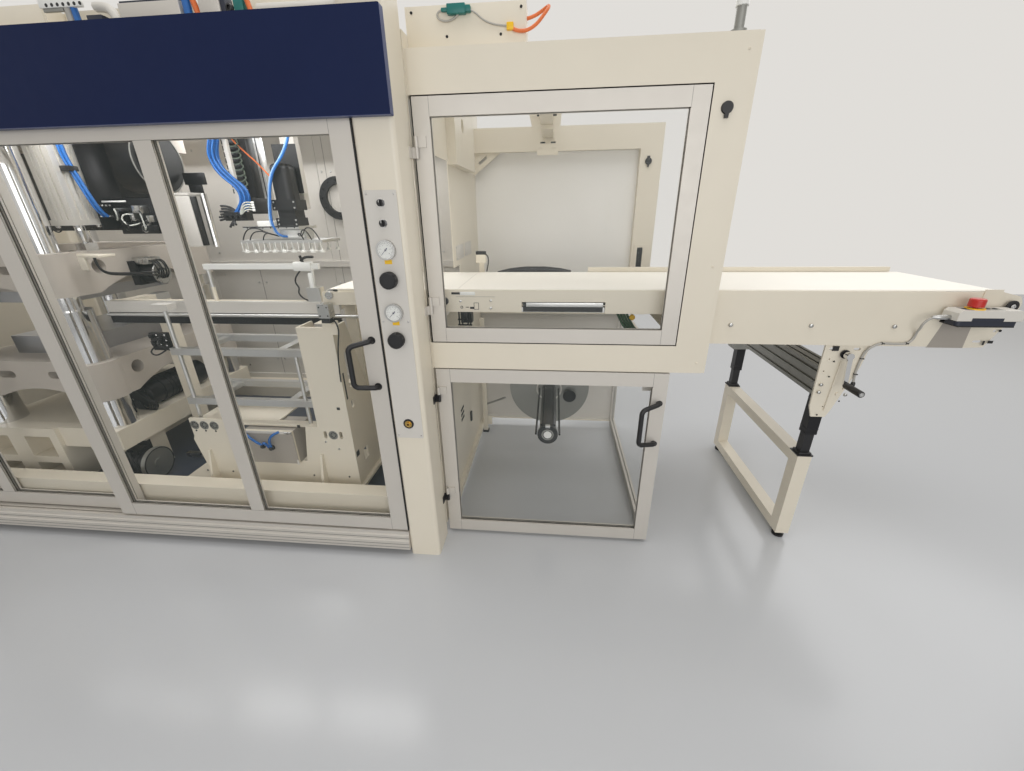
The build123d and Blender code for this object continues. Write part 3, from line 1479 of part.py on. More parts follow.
nodes = {
    "columns": columns(),
    "base_frame": base_frame(),
    "floor_plate": floor_plate(),
    "enclosure_walls": enclosure_walls(),
    "rear_panels": rear_panels(),
    "header_panel": header_panel(),
    "roof_duct": roof_duct(),
    "door_tracks": door_tracks(),
    "door_a_frame": door_a_frame,
    "door_a_panes": door_a_panes,
    "door_a_handle": pull_handle(door_a_left + door_width - door_stile / 2, door_a_y, handle_z),
    "door_b_frame": with_finger_cup(door_b_frame),
    "door_b_panes": door_b_panes,
    "control_plate": control_plate(),
    "selector_upper": selector(selector_heights[0]),
    "selector_lower": selector(selector_heights[1]),
    "gauges": gauges(),
    "regulator_upper": regulator(regulator_heights[0]),
    "regulator_lower": regulator(regulator_heights[1]),
    "air_socket": air_socket(),
    "guard_portal": guard_portal(),
    "rear_portal": rear_portal(),
    "guard_lock": lock(portal_y, -1, front_beam_back, 0),
    "rear_lock": lock(rear_portal_y, 1, rear_beam_back, rear_drop),
    "guard_ties": guard_ties(),
    "hinge_pins": hinge_pins(),
    "window_frame": window_frame,
    "window_pane": window_pane,
    "cabinet_door_frame": cabinet_door_frame,
    "cabinet_door_pane": cabinet_door_pane,
    "cabinet_handle": cabinet_handle(),
    "cabinet_side_frame": cabinet_side_frame,
    "cabinet_side_pane": cabinet_side_pane,
    "cabinet_panels": cabinet_panels(),
    "winder_shaft": winder_shaft(),
    "winder_flange": winder_flange(),
    "conveyor_frame": conveyor_frame(),
    "conveyor_belt": conveyor_belt(),
    "nose_roller": roller(nose_roller, nose_radius),
    "end_roller": roller(end_roller, end_radius),
    "leg_frame": leg_frame(),
    "stand_sleeves": sleeves(),
    "stand_head": stand_head(),
    "cross_beam": cross_beam(),
    "crank": crank(),
    "crank_grip": crank_grip(),
    "pendant_case": pendant_case(),
    "stop_button": stop_button(),
    "pendant_cable": pendant_cable(),
    "guide_columns": guide_columns(),
    "press_base": press_base(),
    "lower_platen": lower_platen(),
    "upper_platen": upper_platen(),
    "press_cylinder": press_cylinder(),
    "cylinder_rod": cylinder_rod(),
    "stacker_bracket": stacker_bracket(),
    "machine_rails": machine_rails(),
    "stacking_frame": stacking_frame(),
    "gripper_head": gripper_head(),
    "air_hoses": air_hoses(),
}

for name, shapes in nodes.items():
    save(name, shapes)
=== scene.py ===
import math
import random
from collections import namedtuple

import bmesh
import bpy
from mathutils import Matrix, Vector


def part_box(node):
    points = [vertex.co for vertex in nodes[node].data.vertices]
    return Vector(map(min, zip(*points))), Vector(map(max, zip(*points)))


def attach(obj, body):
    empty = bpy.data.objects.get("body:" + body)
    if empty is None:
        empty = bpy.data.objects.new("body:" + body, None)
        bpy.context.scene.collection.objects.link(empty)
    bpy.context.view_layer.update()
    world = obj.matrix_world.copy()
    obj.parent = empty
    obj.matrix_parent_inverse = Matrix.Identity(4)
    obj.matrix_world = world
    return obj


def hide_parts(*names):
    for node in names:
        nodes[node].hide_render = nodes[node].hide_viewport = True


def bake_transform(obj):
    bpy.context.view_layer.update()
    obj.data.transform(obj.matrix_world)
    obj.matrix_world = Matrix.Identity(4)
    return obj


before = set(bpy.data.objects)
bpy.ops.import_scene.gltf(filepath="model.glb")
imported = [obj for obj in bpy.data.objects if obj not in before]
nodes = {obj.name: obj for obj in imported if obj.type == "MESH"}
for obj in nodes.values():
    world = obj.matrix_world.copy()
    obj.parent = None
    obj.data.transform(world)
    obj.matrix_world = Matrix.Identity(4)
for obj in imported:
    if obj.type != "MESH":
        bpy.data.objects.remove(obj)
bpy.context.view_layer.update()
scene = bpy.context.scene
scene.view_settings.view_transform = "Standard"

# Camera, as fitted to the photo

FRAME_WIDTH = 1024
FOCAL_PIXELS = 413.4976
SENSOR_WIDTH = 36
NEAR_CLIP = 0.02
CAMERA_PLACE = (0.9575, -2.2015, 1.5)
YAW = -0.10116596
PITCH = 0.40110533
ROLL = -0.01507862

ahead = Vector((math.sin(YAW) * math.cos(PITCH), math.cos(YAW) * math.cos(PITCH), -math.sin(PITCH)))
level = Vector((math.cos(YAW), -math.sin(YAW), 0))
upright = level.cross(ahead)
camera_right = math.cos(ROLL) * level + math.sin(ROLL) * upright
camera_up = -math.sin(ROLL) * level + math.cos(ROLL) * upright
lens = bpy.data.cameras.new("camera")
lens.sensor_width = SENSOR_WIDTH
lens.lens = FOCAL_PIXELS / FRAME_WIDTH * SENSOR_WIDTH
lens.clip_start = NEAR_CLIP
camera = bpy.data.objects.new("camera", lens)
turn = Matrix((camera_right, camera_up, -ahead)).transposed()
camera.matrix_world = Matrix.Translation(CAMERA_PLACE) @ turn.to_4x4()
scene.collection.objects.link(camera)
scene.camera = camera

# Finishes: colour in screen values, roughness, grain and height of the bumps, colour spread, metal, gloss

Finish = namedtuple("Finish", "colour rough grain relief spread metal gloss", defaults=(0.0, 0.5))
FINISHES = {
    "cream": Finish((227, 219, 202), 0.36, 900, 0.05, 0.03),
    "belt": Finish((251, 247, 237), 0.5, 1500, 0.12, 0.03),
    "navy": Finish((20, 32, 68), 0.55, 420, 0.22, 0.08, gloss=0.16),
    "light_grey": Finish((212, 208, 201), 0.4, 900, 0.04, 0.03),
    "wall_grey": Finish((206, 202, 195), 0.42, 700, 0.06, 0.04),
    "floor_navy": Finish((62, 68, 82), 0.3, 300, 0.08, 0.15),
    "aluminium": Finish((205, 205, 203), 0.34, 2200, 0.05, 0.05, metal=0.85),
    "beam_grey": Finish((146, 146, 141), 0.42, 1800, 0.08, 0.06, metal=0.7),
    "steel": Finish((190, 190, 188), 0.28, 1600, 0.06, 0.08, metal=1.0),
    "chrome": Finish((222, 222, 222), 0.09, 600, 0.01, 0.03, metal=1.0),
    "casting": Finish((190, 182, 172), 0.52, 260, 0.3, 0.08),
    "taupe": Finish((164, 157, 148), 0.45, 700, 0.06, 0.04),
    "black": Finish((24, 24, 26), 0.42, 1200, 0.05, 0.15),
    "black_steel": Finish((30, 30, 33), 0.32, 1400, 0.08, 0.15, metal=0.4),
    "rubber": Finish((20, 20, 21), 0.62, 1500, 0.15, 0.15),
    "white": Finish((235, 235, 231), 0.4, 900, 0.04, 0.03),
    "brass": Finish((201, 168, 98), 0.25, 1500, 0.04, 0.08, metal=1.0),
    "red": Finish((190, 42, 34), 0.3, 900, 0.03, 0.05),
    "yellow": Finish((244, 194, 30), 0.4, 900, 0.03, 0.05),
    "green": Finish((42, 130, 88), 0.4, 900, 0.04, 0.06),
    "blue": Finish((36, 104, 178), 0.25, 900, 0.02, 0.05),
    "cable": Finish((174, 171, 164), 0.5, 1200, 0.05, 0.05),
    "shell": Finish((214, 210, 202), 0.5, 1600, 0.15, 0.03),
    "cup": Finish((226, 226, 220), 0.4, 900, 0.03, 0.04),
    "tool": Finish((168, 168, 170), 0.3, 900, 0.05, 0.06, metal=0.9),
    "needle_blue": Finish((38, 48, 92), 0.35, 900, 0.02, 0.04),
    "orange": Finish((226, 118, 62), 0.42, 1200, 0.04, 0.05),
    "hose_light": Finish((150, 186, 226), 0.22, 900, 0.02, 0.05),
    "pale_hose": Finish((196, 198, 190), 0.25, 900, 0.02, 0.06),
    "cable_green": Finish((104, 116, 104), 0.45, 1200, 0.04, 0.1),
    # A lighter copy of the navy paint: a painted highlight on the header's end face and bottom edge
    "navy_painted_highlight": Finish((84, 92, 126), 0.36, 420, 0.15, 0.06),
    "frame_silver": Finish((206, 201, 193), 0.42, 2200, 0.05, 0.03, metal=0.3),
    "green_dark": Finish((38, 82, 48), 0.4, 900, 0.03, 0.08),
    "teal": Finish((20, 110, 104), 0.35, 900, 0.03, 0.06),
    "dark_chrome": Finish((86, 86, 90), 0.2, 900, 0.01, 0.04, metal=0.9),
    "slate": Finish((34, 39, 54), 0.4, 900, 0.04, 0.05),
    # A lighter copy of the pale grey panel paint: painted light for the rear portal's infill
    "wall_grey_painted_light": Finish((238, 236, 231), 0.42, 700, 0.04, 0.03),
    "profile_silver": Finish((212, 208, 200), 0.36, 2000, 0.03, 0.04, metal=0.35),
    "dial": Finish((244, 244, 240), 0.35, 900, 0.0, 0.01),
}

# The slot named for each finish, where a piece doesn't name another; piece and hoses look it up but keep it
# nowhere

SLOT_FINISHES = {
    "black_plastic": ("black", "rubber", "needle_blue", "green", "slate"),
    "dark_steel": ("black_steel",),
    "steel": ("steel", "beam_grey"),
    "chrome": ("chrome",),
    "anodised": ("aluminium", "frame_silver"),
    "cream_paint": ("cream",),
    "grey_panel": ("light_grey", "wall_grey"),
    "white_plastic": ("white", "pale_hose", "yellow"),
    "belt_white": ("taupe",),
    "hose_blue": ("blue", "hose_light"),
    "cable_grey": ("orange", "cable", "green_dark", "cable_green", "shell", "teal"),
    "clear_panel": ("clear_panel",),
}
SLOTS = {finish: slot for slot, finishes in SLOT_FINISHES.items() for finish in finishes}

# Materials: slow noise varies the colour, smudges the roughness, and fine noise the bumps

COLOUR_NOISE = dict(scale=7.0, detail=4.0)
SMUDGE_NOISE = dict(scale=23.0, detail=3.0)
SMUDGE_SPREAD = 0.15
BUMP_DETAIL = 2.0
BUMP_DEPTH = 0.0006
HAZE_NOISE = dict(scale=9.0, detail=5.0)
HAZE_SPREAD = 0.4
CLEAR_COLOUR = (150, 160, 156)
CLEAR_COVER = 0.045
CLEAR_ROUGH = 0.05


def linear(*colour):
    """A colour in 0 to 255 screen values as the linear values that a shader takes."""
    values = []
    for value in colour:
        share = value / 255
        values.append(share / 12.92 if share <= 0.04045 else ((share + 0.055) / 1.055) ** 2.4)
    return (*values, 1.0)


def feed(tree, value, target):
    """Links a node's output to an input, or sets the input to a plain value."""
    if isinstance(value, bpy.types.NodeSocket):
        tree.links.new(value, target)
    else:
        target.default_value = value


def make(tree, kind, **values):
    """A new node with the values of its named inputs or properties."""
    node = tree.nodes.new(kind)
    for key, value in values.items():
        if hasattr(node, key):
            setattr(node, key, value)
        else:
            node.inputs[key.replace("_", " ").title()].default_value = value
    return node


def reckon(tree, operation, first, second):
    """The result of one operation on two values."""
    node = make(tree, "ShaderNodeMath", operation=operation)
    feed(tree, first, node.inputs[0])
    feed(tree, second, node.inputs[1])
    return node.outputs[0]


def noise(tree, place, **values):
    node = make(tree, "ShaderNodeTexNoise", **values)
    feed(tree, place, node.inputs["Vector"])
    return node.outputs["Fac"]


def spread_noise(tree, place, middle, spread, **values):
    """Noise between a middle value less and plus a spread."""
    node = make(tree, "ShaderNodeMapRange", to_min=middle - spread, to_max=middle + spread)
    feed(tree, noise(tree, place, **values), node.inputs["Value"])
    return node.outputs["Result"]


def zone_mask(tree, axes, limits):
    """1 inside a box in object coordinates; a side without a limit is open."""
    mask = None
    for axis, name in enumerate("xyz"):
        for end, operation in (("0", "GREATER_THAN"), ("1", "LESS_THAN")):
            if name + end not in limits:
                continue
            side = reckon(tree, operation, axes.outputs[axis], limits[name + end])
            mask = side if mask is None else reckon(tree, "MULTIPLY", mask, side)
    return mask


def mixed(tree, factor, first, second, colour=False):
    """A value or a colour that changes from one to another by a factor."""
    node = make(tree, "ShaderNodeMix", data_type="RGBA" if colour else "FLOAT")
    inputs = [entry for entry in node.inputs if entry.enabled]
    for entry, value in zip(inputs, (factor, first, second)):
        feed(tree, value, entry)
    return next(entry for entry in node.outputs if entry.enabled)


def new_material(name):
    """A material, its node tree, its shader's inputs and the place on the object."""
    material = bpy.data.materials.new(name)
    material.use_nodes = True
    tree = material.node_tree
    place = make(tree, "ShaderNodeTexCoord").outputs["Object"]
    return material, tree, tree.nodes["Principled BSDF"].inputs, place


def finish_material(name, finish, zones=()):
    """A procedural material, with other finishes inside given boxes."""
    material, tree, shader, place = new_material(name)
    axes = make(tree, "ShaderNodeSeparateXYZ")
    feed(tree, place, axes.inputs[0])
    base = FINISHES[finish]
    colour, metal, rough = linear(*base.colour), base.metal, base.rough
    for other_name, limits in zones:
        other = FINISHES[other_name]
        mask = zone_mask(tree, axes, limits)
        colour = mixed(tree, mask, colour, linear(*other.colour), True)
        metal = mixed(tree, mask, metal, other.metal)
        rough = mixed(tree, mask, rough, other.rough)
    scaled = make(tree, "ShaderNodeVectorMath", operation="SCALE")
    feed(tree, colour if zones else colour[:3], scaled.inputs[0])
    feed(tree, spread_noise(tree, place, 1.0, base.spread, **COLOUR_NOISE), scaled.inputs["Scale"])
    feed(tree, scaled.outputs[0], shader["Base Color"])
    feed(tree, metal, shader["Metallic"])
    smudges = spread_noise(tree, place, 1.0, SMUDGE_SPREAD, **SMUDGE_NOISE)
    feed(tree, reckon(tree, "MULTIPLY", rough, smudges), shader["Roughness"])
    shader["Specular IOR Level"].default_value = base.gloss
    if base.relief:
        bump = make(tree, "ShaderNodeBump", strength=base.relief, distance=BUMP_DEPTH)
        fine = noise(tree, place, scale=float(base.grain), detail=BUMP_DETAIL)
        feed(tree, fine, bump.inputs["Height"])
        feed(tree, bump.outputs["Normal"], shader["Normal"])
    return material


def clear_material(name):
    """Clear sheet plastic: mostly see-through, with a gloss on both faces."""
    material, tree, shader, place = new_material(name)
    haze = spread_noise(tree, place, CLEAR_ROUGH, CLEAR_ROUGH * HAZE_SPREAD, **HAZE_NOISE)
    feed(tree, haze, shader["Roughness"])
    shader["Base Color"].default_value = linear(*CLEAR_COLOUR)
    shader["Alpha"].default_value = CLEAR_COVER
    return material


plain = {name: finish_material(name, name) for name in FINISHES}
plain["clear_panel"] = clear_material("clear_panel")

# Sizes that the pieces below share with the model, in metres

END_X = 0.4575
LEFT_END = -2.6725
FRONT_Y = -0.7535
REAR_Y = 0.8115
PORTAL_Y = -0.5915
REAR_PORTAL_Y = 0.6495
BAY_LEFT = -2.5325
BAY_RIGHT = 0.3175
PLATE_Y = -0.7565
CONTROL_X = 0.3845
NEAR_PLATE = -0.5165
BELT_TOP = 1.203
POST_X = 2.0975
PENDANT_X = END_X + 1.947
LOCK_X = 1.493
STAND_FACE = -0.5135
STAND_PLATE = -0.509
DOOR_STILE = 0.074
DOOR_RAIL = 0.066
WINDOW_PROFILE = 0.058
CABINET_PROFILE = 0.06

# Nodes with other finishes inside boxes; a box has low limits x0, y0, z0 and high ones x1, y1, z1

ZONED = {
    "control_plate": ("light_grey", [("chrome", dict(z0=1.44, y1=PLATE_Y - 0.0001, z1=1.545))]),
    "gauges": ("steel", [("dial", dict(y0=PLATE_Y - 0.0125, y1=PLATE_Y - 0.0115))]),
    "conveyor_frame": ("cream", [
        ("black", dict(x0=END_X + 0.09, z0=BELT_TOP + 0.088, x1=END_X + 0.16)),
        ("aluminium", dict(x0=END_X + 0.36, y0=NEAR_PLATE + 0.0079, x1=END_X + 0.73, y1=-0.47, z1=1.135)),
        ("taupe", dict(x0=2.4115, y0=NEAR_PLATE + 0.0079, x1=2.544, y1=NEAR_PLATE + 0.02)),
        ("steel", dict(x1=2.3, y1=NEAR_PLATE - 0.0005, z1=1.1)),
        ("black", dict(x0=PENDANT_X, y1=NEAR_PLATE - 0.0002, z1=BELT_TOP - 0.1)),
    ]),
    "press_base": ("cream", [
        ("casting", dict(z0=1.0)),
        ("black", dict(x0=-1.398, z0=0.131, y1=-0.342, z1=0.32)),
        ("beam_grey", dict(x0=-1.2356, z0=0.132, y1=-0.342, z1=0.32)),
    ]),
    "pendant_case": ("shell", [
        ("slate", dict(x0=PENDANT_X + 0.0001, z1=1.1099)),
        ("slate", dict(x0=PENDANT_X + 0.048, x1=PENDANT_X + 0.152, y1=-0.59, z1=1.1215)),
        ("yellow", dict(z0=1.1481)),
        ("steel", dict(x1=PENDANT_X - 0.0001)),
    ]),
    "stand_head": ("cream", [
        ("steel", dict(y0=STAND_PLATE + 0.0002, y1=STAND_PLATE + 0.0004, z1=0.85)),
        ("beam_grey", dict(y0=0.2)),
    ]),
    "leg_frame": ("cream", [("black", dict(z1=0.03)), ("black", dict(z0=0.4681))]),
    "upper_platen": ("casting", [
        ("tool", dict(x0=-1.96, y0=-0.33, x1=-1.49, y1=0.29, z1=1.15)),
        ("black_steel", dict(x0=-1.2894)),
    ]),
    "lower_platen": ("casting", [("tool", dict(z0=0.8201))]),
    "press_cylinder": ("profile_silver", [("black", dict(x0=-1.298, y0=-0.07))]),
    "stacker_bracket": ("cream", [
        ("taupe", dict(x0=-0.5501, y0=-0.5294, z0=0.3345, x1=-0.297, z1=0.5185)),
        ("taupe", dict(x0=-0.5501, y0=-0.543, z0=0.3345, x1=-0.297, y1=-0.54, z1=0.503)),
        ("steel", dict(z1=0.1852)),
        ("black", dict(x0=-0.014, y0=-0.571, z0=1.0701, x1=0.025, y1=-0.536, z1=1.0921)),
        ("steel", dict(y0=-0.577, z0=1.0921)),
    ]),
    "machine_rails": ("aluminium", [
        ("steel", dict(z1=0.1585)),
        ("cream", dict(y0=-0.16, z0=0.13, y1=-0.08, z1=1.078)),
        ("black", dict(z0=1.4699, x1=-0.54, z1=1.5101)),
        ("cream", dict(y0=-0.34, z0=1.075, y1=-0.17, z1=1.18)),
        ("white", dict(y0=-0.34, z0=1.26, y1=-0.31, z1=1.29)),
        ("wall_grey", dict(z0=1.5103)),
        ("light_grey", dict(y0=-0.36, z0=1.06, y1=-0.353, z1=1.115)),
        ("black_steel", dict(y0=-0.36, z0=1.0, y1=-0.353, z1=1.06)),
    ]),
    "stacking_frame": ("aluminium", [("light_grey", dict(z0=1.0999))]),
    "gripper_head": ("aluminium", [
        ("black", dict(z0=1.4441)),
        ("wall_grey", dict(y0=-0.0904, z0=1.561)),
        ("cup", dict(z1=1.3679)),
    ]),
    "rear_panels": ("wall_grey", [("black", dict(x0=-0.66, z0=1.45, x1=-0.35, y1=0.7714, z1=1.73))]),
    "hinge_pins": ("black", [("frame_silver", dict(z0=0.95))]),
    "cabinet_handle": ("black", [("frame_silver", dict(x1=0.6))]),
    "winder_shaft": ("dark_chrome", [("black", dict(y1=-0.399))]),
    "guard_ties": ("cream", [
        ("beam_grey", dict(x0=1.47, y0=-0.59, z0=1.9851, y1=-0.538)),
        ("white", dict(x0=1.47, y0=-0.59, z0=2.0505, y1=-0.538)),
    ]),
    "rear_portal": ("cream", [
        # The rear portal's infill takes its grey paint made lighter, as painted light
        ("wall_grey_painted_light", dict(y0=0.634, z0=0.9, x1=1.4445, y1=0.6466, z1=1.82)),
        ("black", dict(x0=1.478, z0=1.13, x1=1.512, y1=0.5966, z1=1.272)),
    ]),
    "roof_duct": ("cream", [("light_grey", dict(y0=-0.62))]),
    "cabinet_side_frame": ("frame_silver", ()),
    "cabinet_panels": ("cream", [("light_grey", dict(y0=0.6))]),
    "door_tracks": ("frame_silver", ()),
    # The header's end face and bottom edge carry a painted highlight in a lighter navy
    "header_panel": ("navy", [("navy_painted_highlight", dict(x0=END_X + 0.0015)), ("navy_painted_highlight", dict(z1=1.7712))]),
}
PLAIN_NODES = {
    "columns": "cream", "base_frame": "cream", "floor_plate": "floor_navy", "enclosure_walls": "cream",
    "guard_portal": "cream", "door_a_frame": "frame_silver", "door_b_frame": "frame_silver",
    "window_frame": "frame_silver", "cabinet_door_frame": "frame_silver", "door_a_handle": "black",
    "selector_upper": "black", "selector_lower": "black", "regulator_upper": "black",
    "regulator_lower": "black", "air_socket": "brass", "guard_lock": "black", "rear_lock": "black",
    "winder_flange": "beam_grey", "conveyor_belt": "belt", "nose_roller": "steel", "end_roller": "steel",
    "stand_sleeves": "black_steel", "cross_beam": "beam_grey", "crank": "chrome", "crank_grip": "black",
    "stop_button": "red", "pendant_cable": "cable", "guide_columns": "chrome", "cylinder_rod": "chrome",
    "air_hoses": "blue"
}
CLEAR_NODES = ("door_a_panes", "door_b_panes", "window_pane", "cabinet_door_pane", "cabinet_side_pane")


def dress(node, material):
    """Gives a model node one material in its slot."""
    slots = nodes[node].data.materials
    if slots:
        slots[0] = material
    else:
        slots.append(material)


for node, finish in PLAIN_NODES.items():
    dress(node, plain[finish])
for node, (finish, zones) in ZONED.items():
    dress(node, finish_material(node, finish, zones))
for node in CLEAR_NODES:
    dress(node, plain["clear_panel"])

# Helpers that make the added pieces

BEVEL_STEPS = 2
LINE_HALF = 0.0004
LINE_RISE = 0.0002
SMOOTH_ANGLE = math.radians(35)
TURN_STEPS = 24
SCREW_STEPS = 12
SINK = 0.0003
HOSE_STEPS = 6
HOSE_SIDES = 2
NUMBER_DEPTH = 0.0001
MERGE = 1e-6
OUTWARD = {
    "-x": Vector((-1, 0, 0)), "+x": Vector((1, 0, 0)), "-y": Vector((0, -1, 0)), "+y": Vector((0, 1, 0)),
    "-z": Vector((0, 0, -1)), "+z": Vector((0, 0, 1))
}


def box_mesh(mesh, low, high, bevel=0.0):
    """A box between two corners, with rounded edges."""
    size = Vector(high) - Vector(low)
    middle = (Vector(high) + Vector(low)) / 2
    made = bmesh.ops.create_cube(mesh, size=1.0)["verts"]
    bmesh.ops.scale(mesh, vec=size, verts=made)
    bmesh.ops.translate(mesh, vec=middle, verts=made)
    if bevel:
        edges = list({edge for vert in made for edge in vert.link_edges})
        bmesh.ops.bevel(
            mesh, geom=edges, offset=bevel, offset_type="OFFSET", segments=BEVEL_STEPS, profile=0.5,
            affect="EDGES", material=-1
        )


def piece(name, mesh, material, body="machine", slot=None, smooth=True):
    """Turns a bmesh into an object that rides on a body."""
    bmesh.ops.recalc_face_normals(mesh, faces=mesh.faces)
    data = bpy.data.meshes.new(name)
    mesh.to_mesh(data)
    mesh.free()
    if smooth:
        data.shade_smooth()
        data.set_sharp_from_angle(angle=SMOOTH_ANGLE)
    data.materials.append(plain[material])
    item = bpy.data.objects.new(name, data)
    scene.collection.objects.link(item)
    slot = slot or SLOTS[material]
    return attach(item, body)


def frame_strip(mesh, low, high, width, y_low, y_high):
    """A flat rectangular ring in the XZ plane, between two depths."""
    (x0, z0), (x1, z1) = low, high
    corners = [mesh.verts.new((x, y_low, z)) for x, z in ((x0, z0), (x1, z0), (x1, z1), (x0, z1))]
    face = mesh.faces.new(corners)
    ring = bmesh.ops.inset_region(
        mesh, faces=[face], thickness=width, use_boundary=True, use_even_offset=True
    )["faces"]
    bmesh.ops.delete(mesh, geom=[face], context="FACES_ONLY")
    made = bmesh.ops.extrude_face_region(mesh, geom=ring)["geom"]
    verts = [entry for entry in made if isinstance(entry, bmesh.types.BMVert)]
    bmesh.ops.translate(mesh, vec=(0, y_high - y_low, 0), verts=verts)


def turned(mesh, profile, centre, outward, steps=TURN_STEPS):
    """A turned shape: a profile of (radius, height) points spun round an axis that points outward."""
    before = set(mesh.verts)
    verts = [mesh.verts.new((radius, 0, height)) for radius, height in profile]
    edges = [mesh.edges.new(pair) for pair in zip(verts, verts[1:])]
    bmesh.ops.spin(
        mesh, geom=verts + edges, cent=(0, 0, 0), axis=(0, 0, 1), angle=math.tau, steps=steps,
        use_merge=True
    )
    made = [vert for vert in mesh.verts if vert not in before]
    bmesh.ops.remove_doubles(mesh, verts=made, dist=MERGE)
    made = [vert for vert in mesh.verts if vert not in before]
    turn = Vector((0, 0, 1)).rotation_difference(OUTWARD[outward]).to_matrix()
    bmesh.ops.rotate(mesh, cent=(0, 0, 0), matrix=turn, verts=made)
    bmesh.ops.translate(mesh, vec=centre, verts=made)


def turnings(name, shapes, material, body="machine", slot=None):
    """Turned shapes in one piece, each as its profile, centre, outward axis and steps."""
    mesh = bmesh.new()
    for shape in shapes:
        turned(mesh, *shape)
    return piece(name, mesh, material, body, slot)


def ring_profile(inner, outer, height, round_off=0.0006):
    """The closed profile of a flat ring with an eased outer edge."""
    return [
        (inner, -SINK), (outer, -SINK), (outer, height - round_off), (outer - round_off, height),
        (inner, height), (inner, -SINK)
    ]


def knob_profile(radius, shoulder, rim, height):
    """The profile of a round knob: straight up to its shoulder, then in to a flat top's rim."""
    return [(0, -SINK), (radius, -SINK), (radius, shoulder), (rim, height), (0, height)]


def moved(place, y0):
    """A place whose y is counted from a plane."""
    return place[0], place[1] + y0, place[2]


def screws(name, spots, radius, material, height=0.62, outward="-y", y0=0.0, body="machine", slot=None):
    """Button-head screws with a socket, all in one piece."""
    rise = radius * height
    profile = [
        (0, -SINK), (radius, -SINK), (radius * 0.97, rise * 0.45), (radius * 0.72, rise * 0.9),
        (radius * 0.46, rise), (radius * 0.4, rise * 0.35), (0, rise * 0.35)
    ]
    shapes = [(profile, moved(spot, y0), outward, SCREW_STEPS) for spot in spots]
    return turnings(name, shapes, material, body, slot)


def plates(name, boxes, material, bevel=0.0, y0=0.0, body="machine", slot=None):
    """Plates and blocks between low and high corners, all in one piece."""
    mesh = bmesh.new()
    for low, high in boxes:
        box_mesh(mesh, moved(low, y0), moved(high, y0), bevel)
    return piece(name, mesh, material, body, slot, smooth=bevel > 0)


def spoke(mesh, centre, turn, inner, outer, width, y_low, y_high):
    """A short flat bar that points away from a centre in the XZ plane."""
    before = set(mesh.verts)
    box_mesh(mesh, (inner, y_low, -width / 2), (outer, y_high, width / 2))
    made = [vert for vert in mesh.verts if vert not in before]
    bmesh.ops.rotate(mesh, cent=(0, 0, 0), matrix=Matrix.Rotation(-turn, 3, "Y"), verts=made)
    bmesh.ops.translate(mesh, vec=(centre[0], 0, centre[1]), verts=made)


def hose_curve(name, routes, radius, order=3, y0=0.0):
    """Hoses or cables on smooth lines through their control points, as one curve object."""
    data = bpy.data.curves.new(name, "CURVE")
    data.dimensions = "3D"
    data.resolution_u = HOSE_STEPS
    data.bevel_depth = radius
    data.bevel_resolution = HOSE_SIDES
    data.use_fill_caps = True
    for route in routes:
        spline = data.splines.new("NURBS")
        spline.points.add(len(route) - 1)
        for point, place in zip(spline.points, route):
            point.co = (*moved(place, y0), 1)
        spline.order_u = order
        spline.use_endpoint_u = True
    item = bpy.data.objects.new(name, data)
    scene.collection.objects.link(item)
    return item


def hoses(name, routes, radius, material, y0=0.0, body="machine", slot=None, order=3):
    """Hoses or cables that ride on one body."""
    item = hose_curve(name, routes, radius, order, y0)
    item.data.materials.append(plain[material])
    slot = slot or SLOTS[material]
    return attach(item, body)


def moving_hoses(name, routes, radius, material):
    """Hoses baked to one mesh that stays where it is placed; it follows no body."""
    item = hose_curve(name, routes, radius)
    bpy.context.view_layer.update()
    tube = bpy.data.meshes.new_from_object(item.evaluated_get(bpy.context.evaluated_depsgraph_get()))
    bpy.data.objects.remove(item)
    tube.materials.clear()
    tube.materials.append(plain[material])
    tube.shade_smooth()
    soft = bpy.data.objects.new(name, tube)
    scene.collection.objects.link(soft)
    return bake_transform(soft)


def numbers(name, entries, size, y, material):
    """Numbers that face the front, as one thin mesh; each entry is a text and its x and z."""
    mesh = bmesh.new()
    for text, x, z in entries:
        data = bpy.data.curves.new("number", "FONT")
        data.body = text
        data.size = size
        data.align_x = "CENTER"
        data.align_y = "CENTER"
        data.extrude = NUMBER_DEPTH
        item = bpy.data.objects.new("number", data)
        flat = bpy.data.meshes.new_from_object(item)
        flat.transform(Matrix.Translation((x, y, z)) @ Matrix.Rotation(math.pi / 2, 4, "X"))
        mesh.from_mesh(flat)
        bpy.data.objects.remove(item)
    return piece(name, mesh, material, smooth=False)


# Panes of the sliding doors, the window and the cabinet door, with their seals

DOOR_WIDTH = 1.457
DOOR_A_LEFT = BAY_RIGHT - 0.003 - DOOR_WIDTH
DOOR_B_LEFT = DOOR_A_LEFT + 0.07 - DOOR_WIDTH
DOOR_LOW = 0.139
DOOR_TOP = 1.796
MULLION_SHIFT = 0.004
PANE_DEPTH = 0.015
PANE_HALF = 0.0028
SEAL_WIDTH = 0.003
SEAL_HEIGHT = 0.0045
WINDOW = ((0.4685, 1.003), (1.4405, 1.854))
CABINET_DOOR = ((0.4685, 0.018), (1.4365, 0.882))


def seals(name, bays, y_middle, body):
    """The dark seals along the edges of the panes, on both faces."""
    mesh = bmesh.new()
    for low, high in bays:
        for side in (-1, 1):
            near = y_middle + side * PANE_HALF
            frame_strip(mesh, low, high, SEAL_WIDTH, near, near + side * SEAL_HEIGHT)
    piece(name, mesh, "rubber", body, smooth=False)


